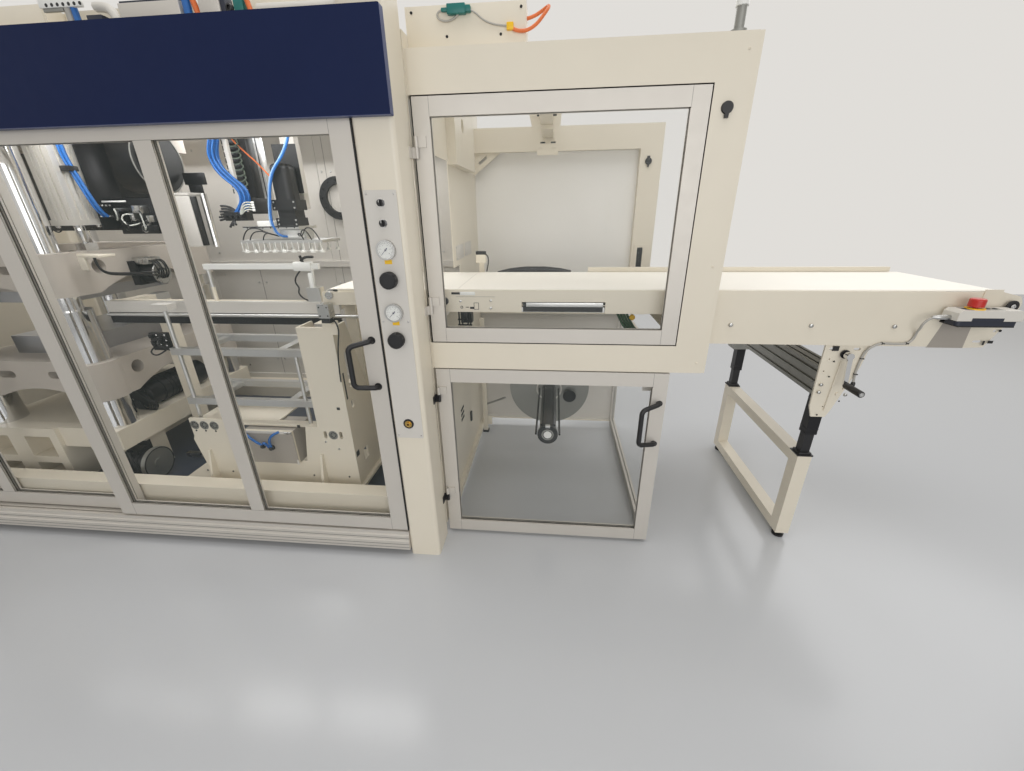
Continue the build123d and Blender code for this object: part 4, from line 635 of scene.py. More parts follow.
PANE_LOW, PANE_HIGH = DOOR_LOW + DOOR_RAIL, DOOR_TOP - DOOR_RAIL
doors = []
for letter, left, front in (("a", DOOR_A_LEFT, FRONT_Y + 0.004), ("b", DOOR_B_LEFT, FRONT_Y + 0.04)):
    middle = left + DOOR_WIDTH / 2 + MULLION_SHIFT
    bays = [
        ((left + DOOR_STILE, PANE_LOW), (middle - DOOR_RAIL / 2, PANE_HIGH)),
        ((middle + DOOR_RAIL / 2, PANE_LOW), (left + DOOR_WIDTH - DOOR_STILE, PANE_HIGH))
    ]
    doors.append((f"door_{letter}", left, middle, front, bays))
    seals(f"door_{letter}_seals", bays, front + PANE_DEPTH, f"door_{letter}")
GUARD_DOORS = (
    ("window", WINDOW, WINDOW_PROFILE, "window_door"),
    ("cabinet_door", CABINET_DOOR, CABINET_PROFILE, "cabinet_door"),
)
for name, (low, high), profile, body in GUARD_DOORS:
    bay = ((low[0] + profile, low[1] + profile), (high[0] - profile, high[1] - profile))
    seals(f"{name}_seals", [bay], PORTAL_Y + PANE_DEPTH, body)

# Control column: plate screws, dials, knobs, the air socket's ring and the door seal

screws("control_plate_screws", [
    (CONTROL_X + side * 0.047, PLATE_Y, z) for z in (1.556, 1.128, 0.648) for side in (-1, 1)
], 0.0036, "steel")
DIAL_Y = PLATE_Y - 0.012
DIAL_START = 225
DIAL_SWEEP = 270
DIAL_STEPS = 40
NUMBER_STEPS = 5
NUMBER_RADIUS = 0.0165
GAUGE_HEIGHTS = (1.38, 1.162)
GRIP_RIBS = 40
for level_name, z in zip(("upper", "lower"), GAUGE_HEIGHTS):
    centre = (CONTROL_X, z)
    mesh = bmesh.new()
    for step in range(DIAL_STEPS + 1):
        turn = math.radians(DIAL_START - step * DIAL_SWEEP / DIAL_STEPS)
        inner, width = (0.0225, 0.0004) if step % 4 else (0.0205, 0.0007)
        spoke(mesh, centre, turn, inner, 0.0243, width, DIAL_Y - 0.0003, DIAL_Y + 0.0002)
    piece(f"dial_marks_{level_name}", mesh, "black", smooth=False)
    mesh = bmesh.new()
    spoke(mesh, centre, math.radians(DIAL_START), -0.002, 0.0205, 0.0009, DIAL_Y - 0.0016, DIAL_Y - 0.001)
    spoke(mesh, centre, math.radians(DIAL_START - 180), 0.0, 0.0085, 0.003, DIAL_Y - 0.0017, DIAL_Y - 0.001)
    turned(mesh, [
        (0, -0.0002), (0.0026, -0.0002), (0.0026, 0.0018), (0.0016, 0.0026), (0, 0.0026)
    ], (CONTROL_X, DIAL_Y, z), "-y", 16)
    piece(f"dial_needle_{level_name}", mesh, "needle_blue")
    entries = []
    for step in range(NUMBER_STEPS + 1):
        turn = math.radians(DIAL_START - step * DIAL_SWEEP / NUMBER_STEPS)
        entries.append((
            str(step * 2), CONTROL_X + NUMBER_RADIUS * math.cos(turn), z + NUMBER_RADIUS * math.sin(turn)
        ))
    numbers(f"dial_numbers_{level_name}", entries, 0.0042, DIAL_Y - 0.0002, "black")
    turnings(f"dial_glass_{level_name}", [([
        (0, 0.003), (0.027, 0.0022), (0.0279, 0.0016), (0.0279, 0.0008), (0, 0.0008)
    ], (CONTROL_X, DIAL_Y, z), "-y", 32)], "clear_panel")
plates("gauge_markers", [(
    (CONTROL_X - 0.0125, -0.0008, z - 0.0475), (CONTROL_X + 0.0135, 0, z - 0.0335)
) for z in GAUGE_HEIGHTS], "yellow", y0=PLATE_Y)
for level_name, z in (("upper", 1.279), ("lower", 1.061)):
    mesh = bmesh.new()
    for step in range(GRIP_RIBS):
        spoke(mesh, (CONTROL_X, z), step * math.tau / GRIP_RIBS, 0.028, 0.0295, 0.0024, -0.7866, -0.764)
    turned(mesh, ring_profile(0.0205, 0.0235, 0.0008, 0.0003), (CONTROL_X, -0.7888, z), "-y", 40)
    piece(f"regulator_grip_{level_name}", mesh, "black", body=f"regulator_{level_name}")
for level_name, z in (("upper", 1.528), ("lower", 1.465)):
    plates(f"selector_line_{level_name}", [(
        (CONTROL_X - 0.0008, -0.7771, z + 0.0015), (CONTROL_X + 0.0008, -0.7765, z + 0.01)
    )], "white", body=f"selector_{level_name}")
turnings("air_socket_ring", [(
    ring_profile(0.015, 0.0215, 0.0022), (CONTROL_X, PLATE_Y, 0.703), "-y", 32
)], "black")
plates("column_seal", [
    ((BAY_RIGHT - 0.0022, 0.0005, DOOR_LOW), (BAY_RIGHT, 0.018, 1.799)),
    ((BAY_RIGHT, -0.0006, DOOR_LOW), (BAY_RIGHT + 0.004, 0, 1.799))
], "rubber", y0=FRONT_Y)

# Sliding doors: joint lines, glazing grooves, the handle's end rings and the track's lines

for name, left, middle, front, bays in doors:
    lines = []
    for x in (left + DOOR_STILE, left + DOOR_WIDTH - DOOR_STILE):
        for z0, z1 in ((DOOR_LOW, PANE_LOW), (PANE_HIGH, DOOR_TOP)):
            lines.append(((x - LINE_HALF, front - LINE_RISE, z0), (x + LINE_HALF, front + LINE_HALF, z1)))
    for z in (PANE_LOW, PANE_HIGH):
        lines.append((
            (middle - DOOR_RAIL / 2, front - LINE_RISE, z - LINE_HALF),
            (middle + DOOR_RAIL / 2, front + LINE_HALF, z + LINE_HALF)
        ))
    plates(f"{name}_joint_lines", lines, "black", body=name)
    mesh = bmesh.new()
    for low, high in bays:
        frame_strip(mesh, low, high, 0.0008, front + 0.0015, front + 0.004)
    piece(f"{name}_glazing_grooves", mesh, "black", body=name, smooth=False)
turnings("door_a_handle_rings", [
    (ring_profile(0.0085, 0.015, 0.0035, 0.0012), (0.2775, FRONT_Y + 0.004, z), "-y", 28)
    for z in (0.863, 1.053)
], "black", body="door_a")
plates("door_track_lines", [
    ((BAY_LEFT, FRONT_Y - 0.0124 + back, z), (BAY_RIGHT, FRONT_Y - 0.0115 + back, z + 0.0016))
    for z, back in ((0.046, 0), (0.064, 0), (0.094, 0.006))
], "black_steel")

# Guard window: seal in the gap round its frame, and the shield behind the lock

mesh = bmesh.new()
frame_strip(
    mesh, (WINDOW[0][0] - 0.004, WINDOW[0][1] - 0.004), (WINDOW[1][0] + 0.004, WINDOW[1][1] + 0.004),
    0.0028, PORTAL_Y + 0.0005, PORTAL_Y + 0.02
)
piece("window_gap_seal", mesh, "rubber", smooth=False)
turnings("guard_lock_shield", [(
    ring_profile(0.0125, 0.0185, 0.003, 0.001), (LOCK_X, PORTAL_Y, 1.79), "-y", 32
)], "black")

# Pick-and-place head: hoses, fittings, motor screws and the cup rail

HEAD_X = -0.3175
HEAD_Y = -0.1165
MANIFOLD_X = -0.6075
ROOF_Z = 2.03
BUNDLE = (
    (-0.018, 2.03), (-0.016, 1.93), (-0.022, 1.84), (-0.06, 1.765), (-0.044, 1.705), (-0.004, 1.66),
    (0.042, 1.622), (0.058, 1.584), (0.048, 1.545), (0.008, 1.505)
)
BUNDLE_RINGS = ((0.011, 4), (0.021, 7))
RING_TWIST = 40
STRAY = (0.75, 1.25)
random.seed(7)
routes = []
for ring, count in BUNDLE_RINGS:
    for step in range(count):
        turn = step * math.tau / count + ring * RING_TWIST
        aside, back = ring * math.cos(turn), ring * math.sin(turn)
        routes.append([(
            MANIFOLD_X + x + aside * random.uniform(*STRAY), HEAD_Y + back * random.uniform(*STRAY), z
        ) for x, z in BUNDLE])
bundle = hoses("air_hose_bundle", routes, 0.0046, "blue")
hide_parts("air_hoses")
routes = []
for step in range(6):
    back = HEAD_Y - 0.018 + step * 0.007
    z = 1.474 + 0.013 * step
    routes.append([
        (MANIFOLD_X - 0.012, back, 1.505), (MANIFOLD_X - 0.045, back - 0.004, z + 0.006),
        (MANIFOLD_X - 0.085 - 0.006 * (step % 2), back - 0.008, z)
    ])
for step in range(3):
    routes.append([
        (MANIFOLD_X + 0.004, HEAD_Y - 0.02, 1.488), (MANIFOLD_X - 0.018, HEAD_Y - 0.03, 1.468),
        (MANIFOLD_X - 0.034 + 0.018 * step, HEAD_Y - 0.036, 1.44 + 0.006 * step)
    ])
hoses("manifold_fittings", routes, 0.0052, "black")
routes = []
tips = []
for step in range(4):
    z = 1.511 + 0.011 * step
    start = (MANIFOLD_X + 0.028, HEAD_Y - 0.022, 1.492 + 0.004 * step)
    end = (MANIFOLD_X + 0.112, HEAD_Y - 0.036, z + 0.006)
    routes.append([
        start, (MANIFOLD_X + 0.055, HEAD_Y - 0.034, z), (MANIFOLD_X + 0.085, HEAD_Y - 0.036, z + 0.012), end
    ])
    tips.append([(end[0] - 0.004, end[1], end[2]), (end[0] + 0.016, end[1], end[2])])
hoses("manifold_loops", routes, 0.003, "pale_hose")
hoses("manifold_tips", tips, 0.0056, "white", order=2)
plates("manifold_tip_plate", [
    ((MANIFOLD_X + 0.126, -0.045, 1.511), (MANIFOLD_X + 0.134, 0.06, 1.57)),
    ((MANIFOLD_X + 0.02, 0.052, 1.511), (MANIFOLD_X + 0.134, 0.06, 1.532))
], "black", 0.001, y0=HEAD_Y)

plates("valve_beam", [
    ((-0.672, 0.062, 1.5), (-0.606, 0.122, ROOF_Z)), ((-0.722, 0.052, 1.585), (-0.604, 0.064, 1.86))
], "black", 0.002)
plates("valve_blocks", [
    ((-0.716, 0.03, 1.6 + 0.028 * step), (-0.64, 0.053, 1.622 + 0.028 * step)) for step in range(9)
], "black_steel", 0.0015)
routes = []
for step in range(8):
    z = 1.835 - 0.026 * step
    routes.append([
        (-0.642, 0.04, z), (-0.622, 0.01, z + 0.01), (-0.6, 0.0, z - 0.012 - 0.003 * (step % 3)),
        (-0.63, -0.006, z - 0.03), (-0.676, 0.004, z - 0.02), (-0.69, 0.03, z - 0.006)
    ])
hoses("valve_cables", routes, 0.0034, "cable_green")
plates("hose_beam", [((-0.582, 0.078, 1.44), (-0.548, 0.112, ROOF_Z))], "aluminium", 0.002)
plates("hose_beam_grooves", [((-0.5675, 0.0765, 1.45), (-0.5625, 0.0785, ROOF_Z - 0.002))], "black")
moving_hoses("head_cable", [[
    (-0.69, 0.02, ROOF_Z), (-0.68, 0.02, 1.93), (-0.655, 0.02, 1.85), (-0.595, 0.015, 1.79),
    (-0.535, 0.005, 1.74), (-0.48, -0.015, 1.69), (-0.43, -0.05, 1.655), (-0.395, -0.1, 1.64),
    (-0.362, -0.125, 1.64)
]], 0.004, "orange")
for name, shift, material in (("head_hose_light", -0.009, "hose_light"), ("head_hose_blue", 0.003, "blue")):
    route = [
        (-0.195, 2.03), (-0.2, 1.93), (-0.21, 1.85), (-0.232, 1.79), (-0.272, 1.735), (-0.33, 1.68),
        (-0.358, 1.62), (-0.378, 1.54), (-0.39, 1.48), (-0.386, 1.44), (-0.372, 1.412), (-0.35, 1.398)
    ]
    moving_hoses(name, [
        [(x + shift, -0.196 - shift * 0.7, z) for x, z in route] + [(-0.34 + shift, -0.17, 1.396)]
    ], 0.0052, material)

screws("gearbox_screws", [
    (HEAD_X + x, -0.1825, z)
    for x, z in (
        (-0.05, 1.55), (0.05, 1.55), (-0.05, 1.524), (0.05, 1.524), (-0.044, 1.47), (0.044, 1.47),
        (-0.044, 1.452), (0.044, 1.452)
    )
], 0.0045, "steel", body="gripper_head")
screws("head_plate_screws", [
    (x, HEAD_Y - 0.08, 1.437) for x in (-0.52, -0.48, -0.44, -0.4, -0.36, -0.32, -0.28)
], 0.003, "black", body="gripper_head", slot="dark_steel")
plates(
    "head_plate_edge", [((-0.5425, -0.0806, 1.4395), (-0.2575, -0.0798, 1.444))], "black_steel", y0=HEAD_Y,
    body="gripper_head"
)
plates("head_blocks", [
    ((-0.47, -0.072, 1.4441), (-0.385, 0.03, 1.468)), ((-0.372, -0.06, 1.392), (-0.262, -0.0345, 1.428))
], "white", 0.0015, y0=HEAD_Y, body="gripper_head")
rail_front = HEAD_Y - 0.092
rungs = [[(-0.5675, rail_front, 1.332), (-0.1475, rail_front, 1.332)]]
rungs += [[(-0.56 + step * 0.0288, rail_front, z) for z in (1.332, 1.374)] for step in range(15)]
hoses("cup_rail", rungs, 0.0017, "white", body="gripper_head", order=2)
arcs = []
for x0, x1, lift in (
    (-0.38, -0.556, 0.05), (-0.372, -0.52, 0.034), (-0.365, -0.45, 0.024), (-0.262, -0.16, 0.05),
    (-0.268, -0.2, 0.038), (-0.275, -0.24, 0.022)
):
    middle = (x0 + x1) / 2
    arcs.append([
        (x0, HEAD_Y - 0.06, 1.398), (x0 + (middle - x0) * 0.5, HEAD_Y - 0.084, 1.396 + lift * 0.4),
        (middle, HEAD_Y - 0.094, 1.392 + lift),
        (x1 + (middle - x1) * 0.3, HEAD_Y - 0.092, 1.388 + lift * 0.8), (x1, HEAD_Y - 0.084, 1.378)
    ])
hoses("cup_hoses", arcs, 0.0027, "black", body="gripper_head")

# Press: cylinder hoses and nuts, bracket, cables and the mechanism under the crown

CYLINDER_X = -1.3175
CYLINDER_Y = -0.2805
CROWN_LOW = 1.845
screws("cylinder_nuts", [
    (CYLINDER_X + a * 0.05, CYLINDER_Y + b * 0.05, 1.462) for a in (-1, 1) for b in (-1, 1)
], 0.0095, "chrome", 1.2, outward="-z")
routes = [
    [
        (-1.244 + aside, -0.3 + back, CROWN_LOW), (-1.246 + aside, -0.3 + back, 1.775),
        (-1.24 + aside, -0.296 + back, 1.715), (-1.222 + aside, -0.29 + back, 1.64),
        (-1.212 + aside, -0.28 + back, 1.57), (-1.21 + aside, -0.262 + back, 1.52),
        (-1.214 + aside, -0.236 + back, 1.5)
    ]
    for aside, back in ((0, 0), (0.013, 0.004), (0.004, 0.015))
]
hoses("cylinder_hoses", routes, 0.0062, "blue")
plates("hose_clamp", [((-1.262, -0.316, 1.69), (-1.216, -0.27, 1.712))], "black", 0.003)
plates("valve_bracket", [
    ((-1.246, -0.236, 1.44), (-1.238, -0.09, CROWN_LOW)), ((-1.238, -0.15, 1.415), (-1.02, -0.14, 1.58)),
    ((-1.238, -0.175, 1.486), (-1.2, -0.15, 1.516)), ((-1.19, -0.18, 1.44), (-1.15, -0.15, 1.47)),
    ((-1.06, -0.185, 1.425), (-1.026, -0.15, 1.455))
], "black_steel", 0.0015)
plates("valve_bar", [
    ((-1.235, -0.205, 1.562), (-1.111, -0.197, 1.569)), ((-1.18, -0.198, 1.562), (-1.17, -0.15, 1.569))
], "white", 0.001)
plates("valve_blocks", [
    ((-1.094, -0.2, 1.512), (-1.054, -0.15, 1.546)), ((-1.128, -0.19, 1.476), (-1.104, -0.15, 1.512)),
    ((-1.204, -0.19, 1.522), (-1.162, -0.15, 1.536)), ((-1.044, -0.186, 1.47), (-1.03, -0.15, 1.5))
], "steel", 0.002)
routes = []
for x, z, reach, side in (
    (-1.196, 1.53, 0.05, 0.016), (-1.176, 1.526, 0.066, 0.01), (-1.116, 1.506, 0.052, -0.018),
    (-1.074, 1.52, 0.062, 0.024), (-1.06, 1.512, 0.08, 0.012), (-1.16, 1.468, 0.034, 0.02)
):
    routes.append([
        (x, -0.186, z), (x + side, -0.208, z + 0.006), (x + side * 2, -0.216, z - reach * 0.4),
        (x + side, -0.206, z - reach), (x - side * 0.4, -0.19, z - reach * 0.9),
        (x - side, -0.16, z - reach * 0.7)
    ])
hoses("valve_hoses", routes[::2], 0.0034, "pale_hose")
hoses("press_valve_cables", routes[1::2], 0.0034, "black")
turnings("valve_rings", [
    (ring_profile(0.015, 0.0195, 0.006, 0.0015), (-1.1, -0.15, 1.44), "-y", 32),
    (ring_profile(0.009, 0.0125, 0.008, 0.0015), (-1.072, -0.15, 1.47), "-y", 28)
], "steel")
hoses("cylinder_coil", [[
    (-1.386, -0.3, 1.56), (-1.41, -0.306, 1.545), (-1.44, -0.306, 1.51), (-1.452, -0.302, 1.465),
    (-1.43, -0.298, 1.43), (-1.398, -0.296, 1.436), (-1.386, -0.292, 1.468)
]], 0.003, "black")
screws("valve_fittings", [
    (-1.238, -0.228 + 0.019 * step, z) for step in range(4) for z in (1.5, 1.548)
], 0.0062, "chrome", 1.4, outward="+x")
turnings("drum_rim", [(
    ring_profile(0.1515, 0.158, 0.0025), (-1.1475, 0.0985, 1.767), "+x", 72
)], "beam_grey", slot="dark_steel")
plates("platen_bracket", [
    ((-1.2985, -0.366, 1.326), (-1.2, -0.35, 1.338)), ((-1.212, -0.43, 1.326), (-1.104, -0.35, 1.338)),
    ((-1.215, -0.43, 1.27), (-1.178, -0.42, 1.327))
], "cream", 0.002, body="upper_platen")
hoses("platen_cables", [
    [
        (-1.131, -0.424, 1.328), (-1.134, -0.424, 1.29), (-1.13, -0.405, 1.258), (-1.104, -0.36, 1.248),
        (-1.086, -0.28, 1.24), (-1.1, -0.18, 1.23), (-1.14, -0.12, 1.226)
    ],
    [
        (-1.14, -0.42, 1.328), (-1.144, -0.418, 1.288), (-1.138, -0.396, 1.25), (-1.112, -0.34, 1.238),
        (-1.1, -0.26, 1.228), (-1.112, -0.17, 1.212), (-1.15, -0.11, 1.206)
    ]
], 0.0044, "black", body="upper_platen")
GEAR_MOTOR = (-1.1695, -0.0765, 1.212)
turnings("gear_motor_cap", [
    (ring_profile(0.03, 0.056, 0.006, 0.002), GEAR_MOTOR, "+x", 40),
    (knob_profile(0.02, 0.008, 0.016, 0.011), GEAR_MOTOR, "+x", 32)
], "steel", body="upper_platen")
plates("gear_motor_box", [
    ((-1.268, -0.128, 1.2625), (-1.176, -0.048, 1.296)), ((-1.25, -0.134, 1.27), (-1.226, -0.124, 1.29)),
    ((-1.214, -0.134, 1.27), (-1.19, -0.124, 1.29))
], "steel", 0.003, body="upper_platen")
routes = []
for step in range(5):
    y = -0.12 + 0.016 * step
    routes.append([
        (-1.18, y, 1.28), (-1.15, y - 0.01, 1.282),
        (-1.132 + 0.006 * (step % 2), y - 0.012, 1.25 - 0.008 * (step % 3)), (-1.14, y - 0.004, 1.205),
        (-1.166, y, 1.185 + 0.006 * (step % 2))
    ])
hoses("gear_motor_leads", routes, 0.0036, "black", body="upper_platen")

# White film bar: clamp, elbow fitting and the cable down its post

BAR_Y = -0.3285
plates("bar_clamp", [
    ((-0.236, -0.016, 1.254), (-0.15, 0.016, 1.294)), ((-0.171, -0.018, 1.118), (-0.151, -0.0115, 1.246))
], "white", 0.004, y0=BAR_Y)
hoses("bar_elbow", [[(-0.192, 0, 1.29), (-0.194, -0.004, 1.306), (-0.196, -0.008, 1.322)], [
    (-0.196, -0.008, 1.3), (-0.18, -0.012, 1.312), (-0.158, -0.014, 1.318), (-0.13, -0.014, 1.317)
]], 0.0062, "black", y0=BAR_Y)
hoses("bar_cable", [[
    (-0.205, -0.01, 1.258), (-0.224, -0.022, 1.236), (-0.236, -0.024, 1.205), (-0.218, -0.024, 1.18),
    (-0.232, -0.022, 1.155), (-0.214, -0.014, 1.125), (-0.19, -0.008, 1.116)
]], 0.0036, "black", y0=BAR_Y)

# Stacking station: bearing rings, bolts, box hoses, rail ends and the sensor's cable

PLATE_TOP = 0.558
STACK_LEFT = -0.9375
STACK_PLATE = -0.5165
BEARING_SHIFTS = (0.108, 0.16, 0.214)
BEARINGS = [(STACK_LEFT + shift, STACK_PLATE, PLATE_TOP - 0.036) for shift in BEARING_SHIFTS]
BEARINGS.append((-0.1015, STACK_PLATE, PLATE_TOP - 0.066))
BEARING_PROFILE = [
    (0, -0.0012), (0.0055, -0.0012), (0.006, -0.003), (0.0195, -0.003), (0.02, 0.0006), (0.0235, 0.0006),
    (0.024, -0.0002)
]
turnings("bearing_faces", [
    (BEARING_PROFILE, place, "-y", 36) for place in BEARINGS
], "beam_grey", body="stacker")
spots = []
for x, y, z in BEARINGS:
    for step in range(8):
        turn = math.radians(45 * step)
        spots.append((x + 0.013 * math.cos(turn), y + 0.0031, z + 0.013 * math.sin(turn)))
screws("bearing_balls", spots, 0.0036, "black", 0.3, body="stacker", slot="dark_steel")
plates("stacker_openings", [
    ((-0.279, STACK_PLATE - 0.0006, 0.528), (-0.264, STACK_PLATE + 0.0004, 0.543)),
    ((-0.056, STACK_PLATE - 0.0006, 0.632), (-0.04, STACK_PLATE + 0.0004, 0.646)),
    ((-0.0058, -0.5, 0.68), (-0.0049, -0.488, 0.814)), ((-0.0058, -0.505, 0.362), (-0.0049, -0.474, 0.392))
], "black", body="stacker", slot="dark_steel")
screws(
    "stacker_face_screws", [(-0.147, 0, 0.4535), (-0.085, 0, 0.4142)], 0.0055, "steel", y0=STACK_PLATE,
    body="stacker"
)
spots = [(STACK_LEFT + shift, STACK_PLATE, PLATE_TOP - 0.067) for shift in BEARING_SHIFTS]
spots += [(x, STACK_PLATE, 0.25) for x in (-0.845, -0.7, -0.25, -0.06)]
screws("stacker_plate_screws", spots, 0.0048, "black_steel", body="stacker")
screws("stacker_flange_bolts", [
    (STACK_LEFT + x, -0.5765 + y, 0.2012)
    for x, y in ((0.048, 0.03), (0.14, 0.022), (0.3, 0.026), (0.54, 0.022), (0.72, 0.026), (0.9, 0.022))
], 0.0085, "black_steel", outward="+z", body="stacker")
BOX_Y = -0.5425
hoses("pick_box_hoses", [
    [
        (-0.546, 0, 0.512), (-0.534, -0.012, 0.504), (-0.51, -0.016, 0.484), (-0.482, -0.016, 0.458),
        (-0.459, -0.01, 0.438)
    ],
    [
        (-0.417, -0.01, 0.428), (-0.418, -0.016, 0.456), (-0.408, -0.018, 0.486), (-0.386, -0.014, 0.508),
        (-0.362, 0, 0.514)
    ],
    [(-0.428, -0.01, 0.43), (-0.436, -0.016, 0.452), (-0.45, -0.016, 0.46), (-0.459, -0.008, 0.444)]
], 0.0062, "blue", y0=BOX_Y, body="stacker")
FITTING_PROFILE = [(0, -SINK), (0.013, -SINK), (0.013, 0.009), (0.0095, 0.013), (0.0095, 0.019), (0, 0.019)]
turnings("pick_box_fittings", [
    (FITTING_PROFILE, (x, BOX_Y, z), "-y", 20) for x, z in ((-0.459, 0.436), (-0.417, 0.426))
], "black", body="stacker")
hoses(
    "pick_box_rod", [[(-0.33, -0.006, 0.513), (-0.2975, -0.006, 0.513)]], 0.0065, "steel", y0=BOX_Y,
    body="stacker", order=2
)
plates("pick_box_ledge", [
    ((-0.549, -0.003, 0.504), (-0.298, 0, 0.5178)), ((-0.553, -0.004, 0.33), (-0.543, 0, 0.35)),
    ((-0.304, -0.004, 0.33), (-0.294, 0, 0.356))
], "light_grey", 0.001, y0=BOX_Y, body="stacker", slot="cream_paint")
plates("frame_valves", [
    ((-0.956, -0.466, 0.9), (-0.866, -0.446, 0.986)), ((-0.868, -0.47, 0.884), (-0.8, -0.446, 0.912)),
    ((-0.946, -0.48, 0.926), (-0.922, -0.464, 0.95)), ((-0.912, -0.48, 0.94), (-0.888, -0.464, 0.968)),
    ((-0.95, -0.478, 0.962), (-0.93, -0.464, 0.98))
], "black_steel", 0.002, body="stacker")
screws("frame_valve_screws", [
    (x, -0.466, z)
    for x, z in ((-0.91, 0.93), (-0.88, 0.925), (-0.876, 0.95), (-0.918, 0.976), (-0.876, 0.976))
], 0.0048, "chrome", body="stacker")
hoses("frame_valve_hoses", [
    [
        (-0.94, -0.466, 0.92), (-0.952, -0.492, 0.906), (-0.936, -0.496, 0.884), (-0.906, -0.49, 0.886),
        (-0.89, -0.466, 0.904)
    ],
    [(-0.9, -0.48, 0.952), (-0.896, -0.502, 0.94), (-0.872, -0.5, 0.926), (-0.86, -0.47, 0.9)]
], 0.0036, "black", body="stacker")
ends = []
for x in (STACK_LEFT + 0.13, STACK_LEFT + 0.65):
    for y in (-0.5425, -0.2165):
        for end, side in ((x, -0.006), (x + 0.108, 0.006)):
            low, high = sorted((end, end + side))
            ends.append(((low, y - 0.023, 0.141), (high, y - 0.014, 0.18)))
            ends.append(((low, y + 0.014, 0.141), (high, y + 0.023, 0.18)))
            ends.append(((low, y - 0.023, 0.16), (high, y + 0.023, 0.18)))
plates("carriage_ends", ends, "green", body="stacker")
hoses("post_sensor_cable", [[
    (0.018, -0.545, 1.086), (0.034, -0.552, 1.08), (0.04, -0.54, 1.04), (0.022, -0.524, 0.99),
    (0.006, -0.52, 0.93), (-0.004, -0.5195, 0.86), (-0.008, -0.519, 0.78)
]], 0.0032, "black", body="stacker")
screws("post_sensor_screws", [
    (x, -0.576, z) for x in (-0.012, 0.022) for z in (1.102, 1.138)
], 0.0034, "black_steel", body="stacker")

# Floor pump: cables, gland and disc rim, and the bolts of the dark floor plate

PUMP = (-0.4325, 0.225)
hoses("pump_cables", [
    [
        (-1.33, -0.452, 0.3), (-1.322, -0.48, 0.33), (-1.3, -0.5, 0.322), (-1.28, -0.508, 0.27),
        (-1.262, -0.506, 0.2), (-1.235, -0.516, 0.16), (-1.205, -0.526, 0.15), (-1.196, -0.53, 0.14)
    ],
    [
        (-1.35, -0.452, 0.296), (-1.356, -0.49, 0.312), (-1.35, -0.512, 0.262), (-1.33, -0.52, 0.19),
        (-1.3, -0.532, 0.148), (-1.262, -0.54, 0.14), (-1.236, -0.536, 0.146), (-1.222, -0.532, 0.14)
    ]
], 0.0058, "black")
turnings("pump_cable_gland", [([
    (0, 0), (0.024, 0), (0.024, 0.008), (0.018, 0.01), (0.018, 0.016), (0, 0.016)
], (-1.209, -0.531, 0.13), "+z", 32)], "black")
turnings("pump_disc_rim", [(
    ring_profile(0.084, 0.088, 0.008, 0.0012), (-1.2176, *PUMP), "+x", 64
)], "black")
screws("floor_plate_bolts", [
    (x, y, 0.13) for x in (-2.44, -2.3, -1.16, -1.04, 0.09, 0.25) for y in (-0.56, 0.61)
], 0.0085, "steel", outward="+z")

# Under the lower platen: the dark lift motor with its coiled leads

MOTOR_X = -1.4
MOTOR_Z = 0.54
mesh = bmesh.new()
turned(mesh, [
    (0, 0), (0.06, 0), (0.074, 0.01), (0.074, 0.09), (0.08, 0.092), (0.08, 0.108), (0.074, 0.11),
    (0.074, 0.42), (0.062, 0.43), (0, 0.43)
], (MOTOR_X, -0.24, MOTOR_Z), "+y", 40)
for step in range(7):
    turned(
        mesh, ring_profile(0.072, 0.0785, 0.006, 0.001), (MOTOR_X, -0.1 + 0.024 * step, MOTOR_Z), "+y", 40
    )
piece("lift_motor", mesh, "black_steel")
routes = []
for step in range(4):
    spread = 0.014 * step
    routes.append([
        (MOTOR_X - 0.01 + spread, -0.232, MOTOR_Z + 0.03), (MOTOR_X + spread, -0.262, MOTOR_Z + 0.05),
        (MOTOR_X + 0.05 + spread, -0.276, MOTOR_Z + 0.035 - spread),
        (MOTOR_X + 0.08 + spread, -0.268, MOTOR_Z - 0.02),
        (MOTOR_X + 0.06 + spread, -0.258, MOTOR_Z - 0.07), (MOTOR_X + spread, -0.254, MOTOR_Z - 0.085),
        (MOTOR_X - 0.05 + spread, -0.25, MOTOR_Z - 0.06), (MOTOR_X - 0.06 + spread, -0.238, MOTOR_Z - 0.03)
    ])
hoses("lift_motor_leads", routes, 0.006, "black")

# Under the crown: a dark ribbed sheet behind the cylinder, which is painted shade, and the drive's case,
# bracket and rod

# Painted shade: dark plates behind the cylinder stand for the shadowed space under the crown
plates("crown_painted_shade", [
    ((-2.2, 0.272, 1.45), (-1.27, 0.286, CROWN_LOW)), ((-2.2, 0.274, 1.42), (-1.5, 0.286, 1.452)),
    ((-2.2, 0.262, 1.6), (-1.27, 0.273, 1.608)), ((-2.2, 0.262, 1.72), (-1.27, 0.273, 1.728))
], "black_steel", 0.0015)
plates("drive_case", [
    ((-1.063, 0.0, 1.34), (-0.948, 0.12, 1.6)), ((-1.068, -0.004, 1.594), (-0.943, 0.124, 1.608)),
    ((-1.1235, 0.06, 1.56), (-1.062, 0.14, 1.592))
], "wall_grey", 0.003)
plates("drive_case_side", [((-0.9485, 0.004, 1.345), (-0.942, 0.044, 1.59))], "black", 0.001)
plates("drive_bracket", [
    ((-1.105, 0.18, 1.655), (-0.985, 0.2, 1.715)), ((-1.09, 0.184, 1.6), (-1.015, 0.198, 1.656))
], "black_steel", 0.002)
turnings("drive_case_rod", [([
    (0, 0), (0.018, 0), (0.018, 0.27), (0, 0.27)
], (-0.9225, 0.07, 1.335), "+z", 40)], "chrome")

# Rear wall of the bay: panel joints and turn fasteners

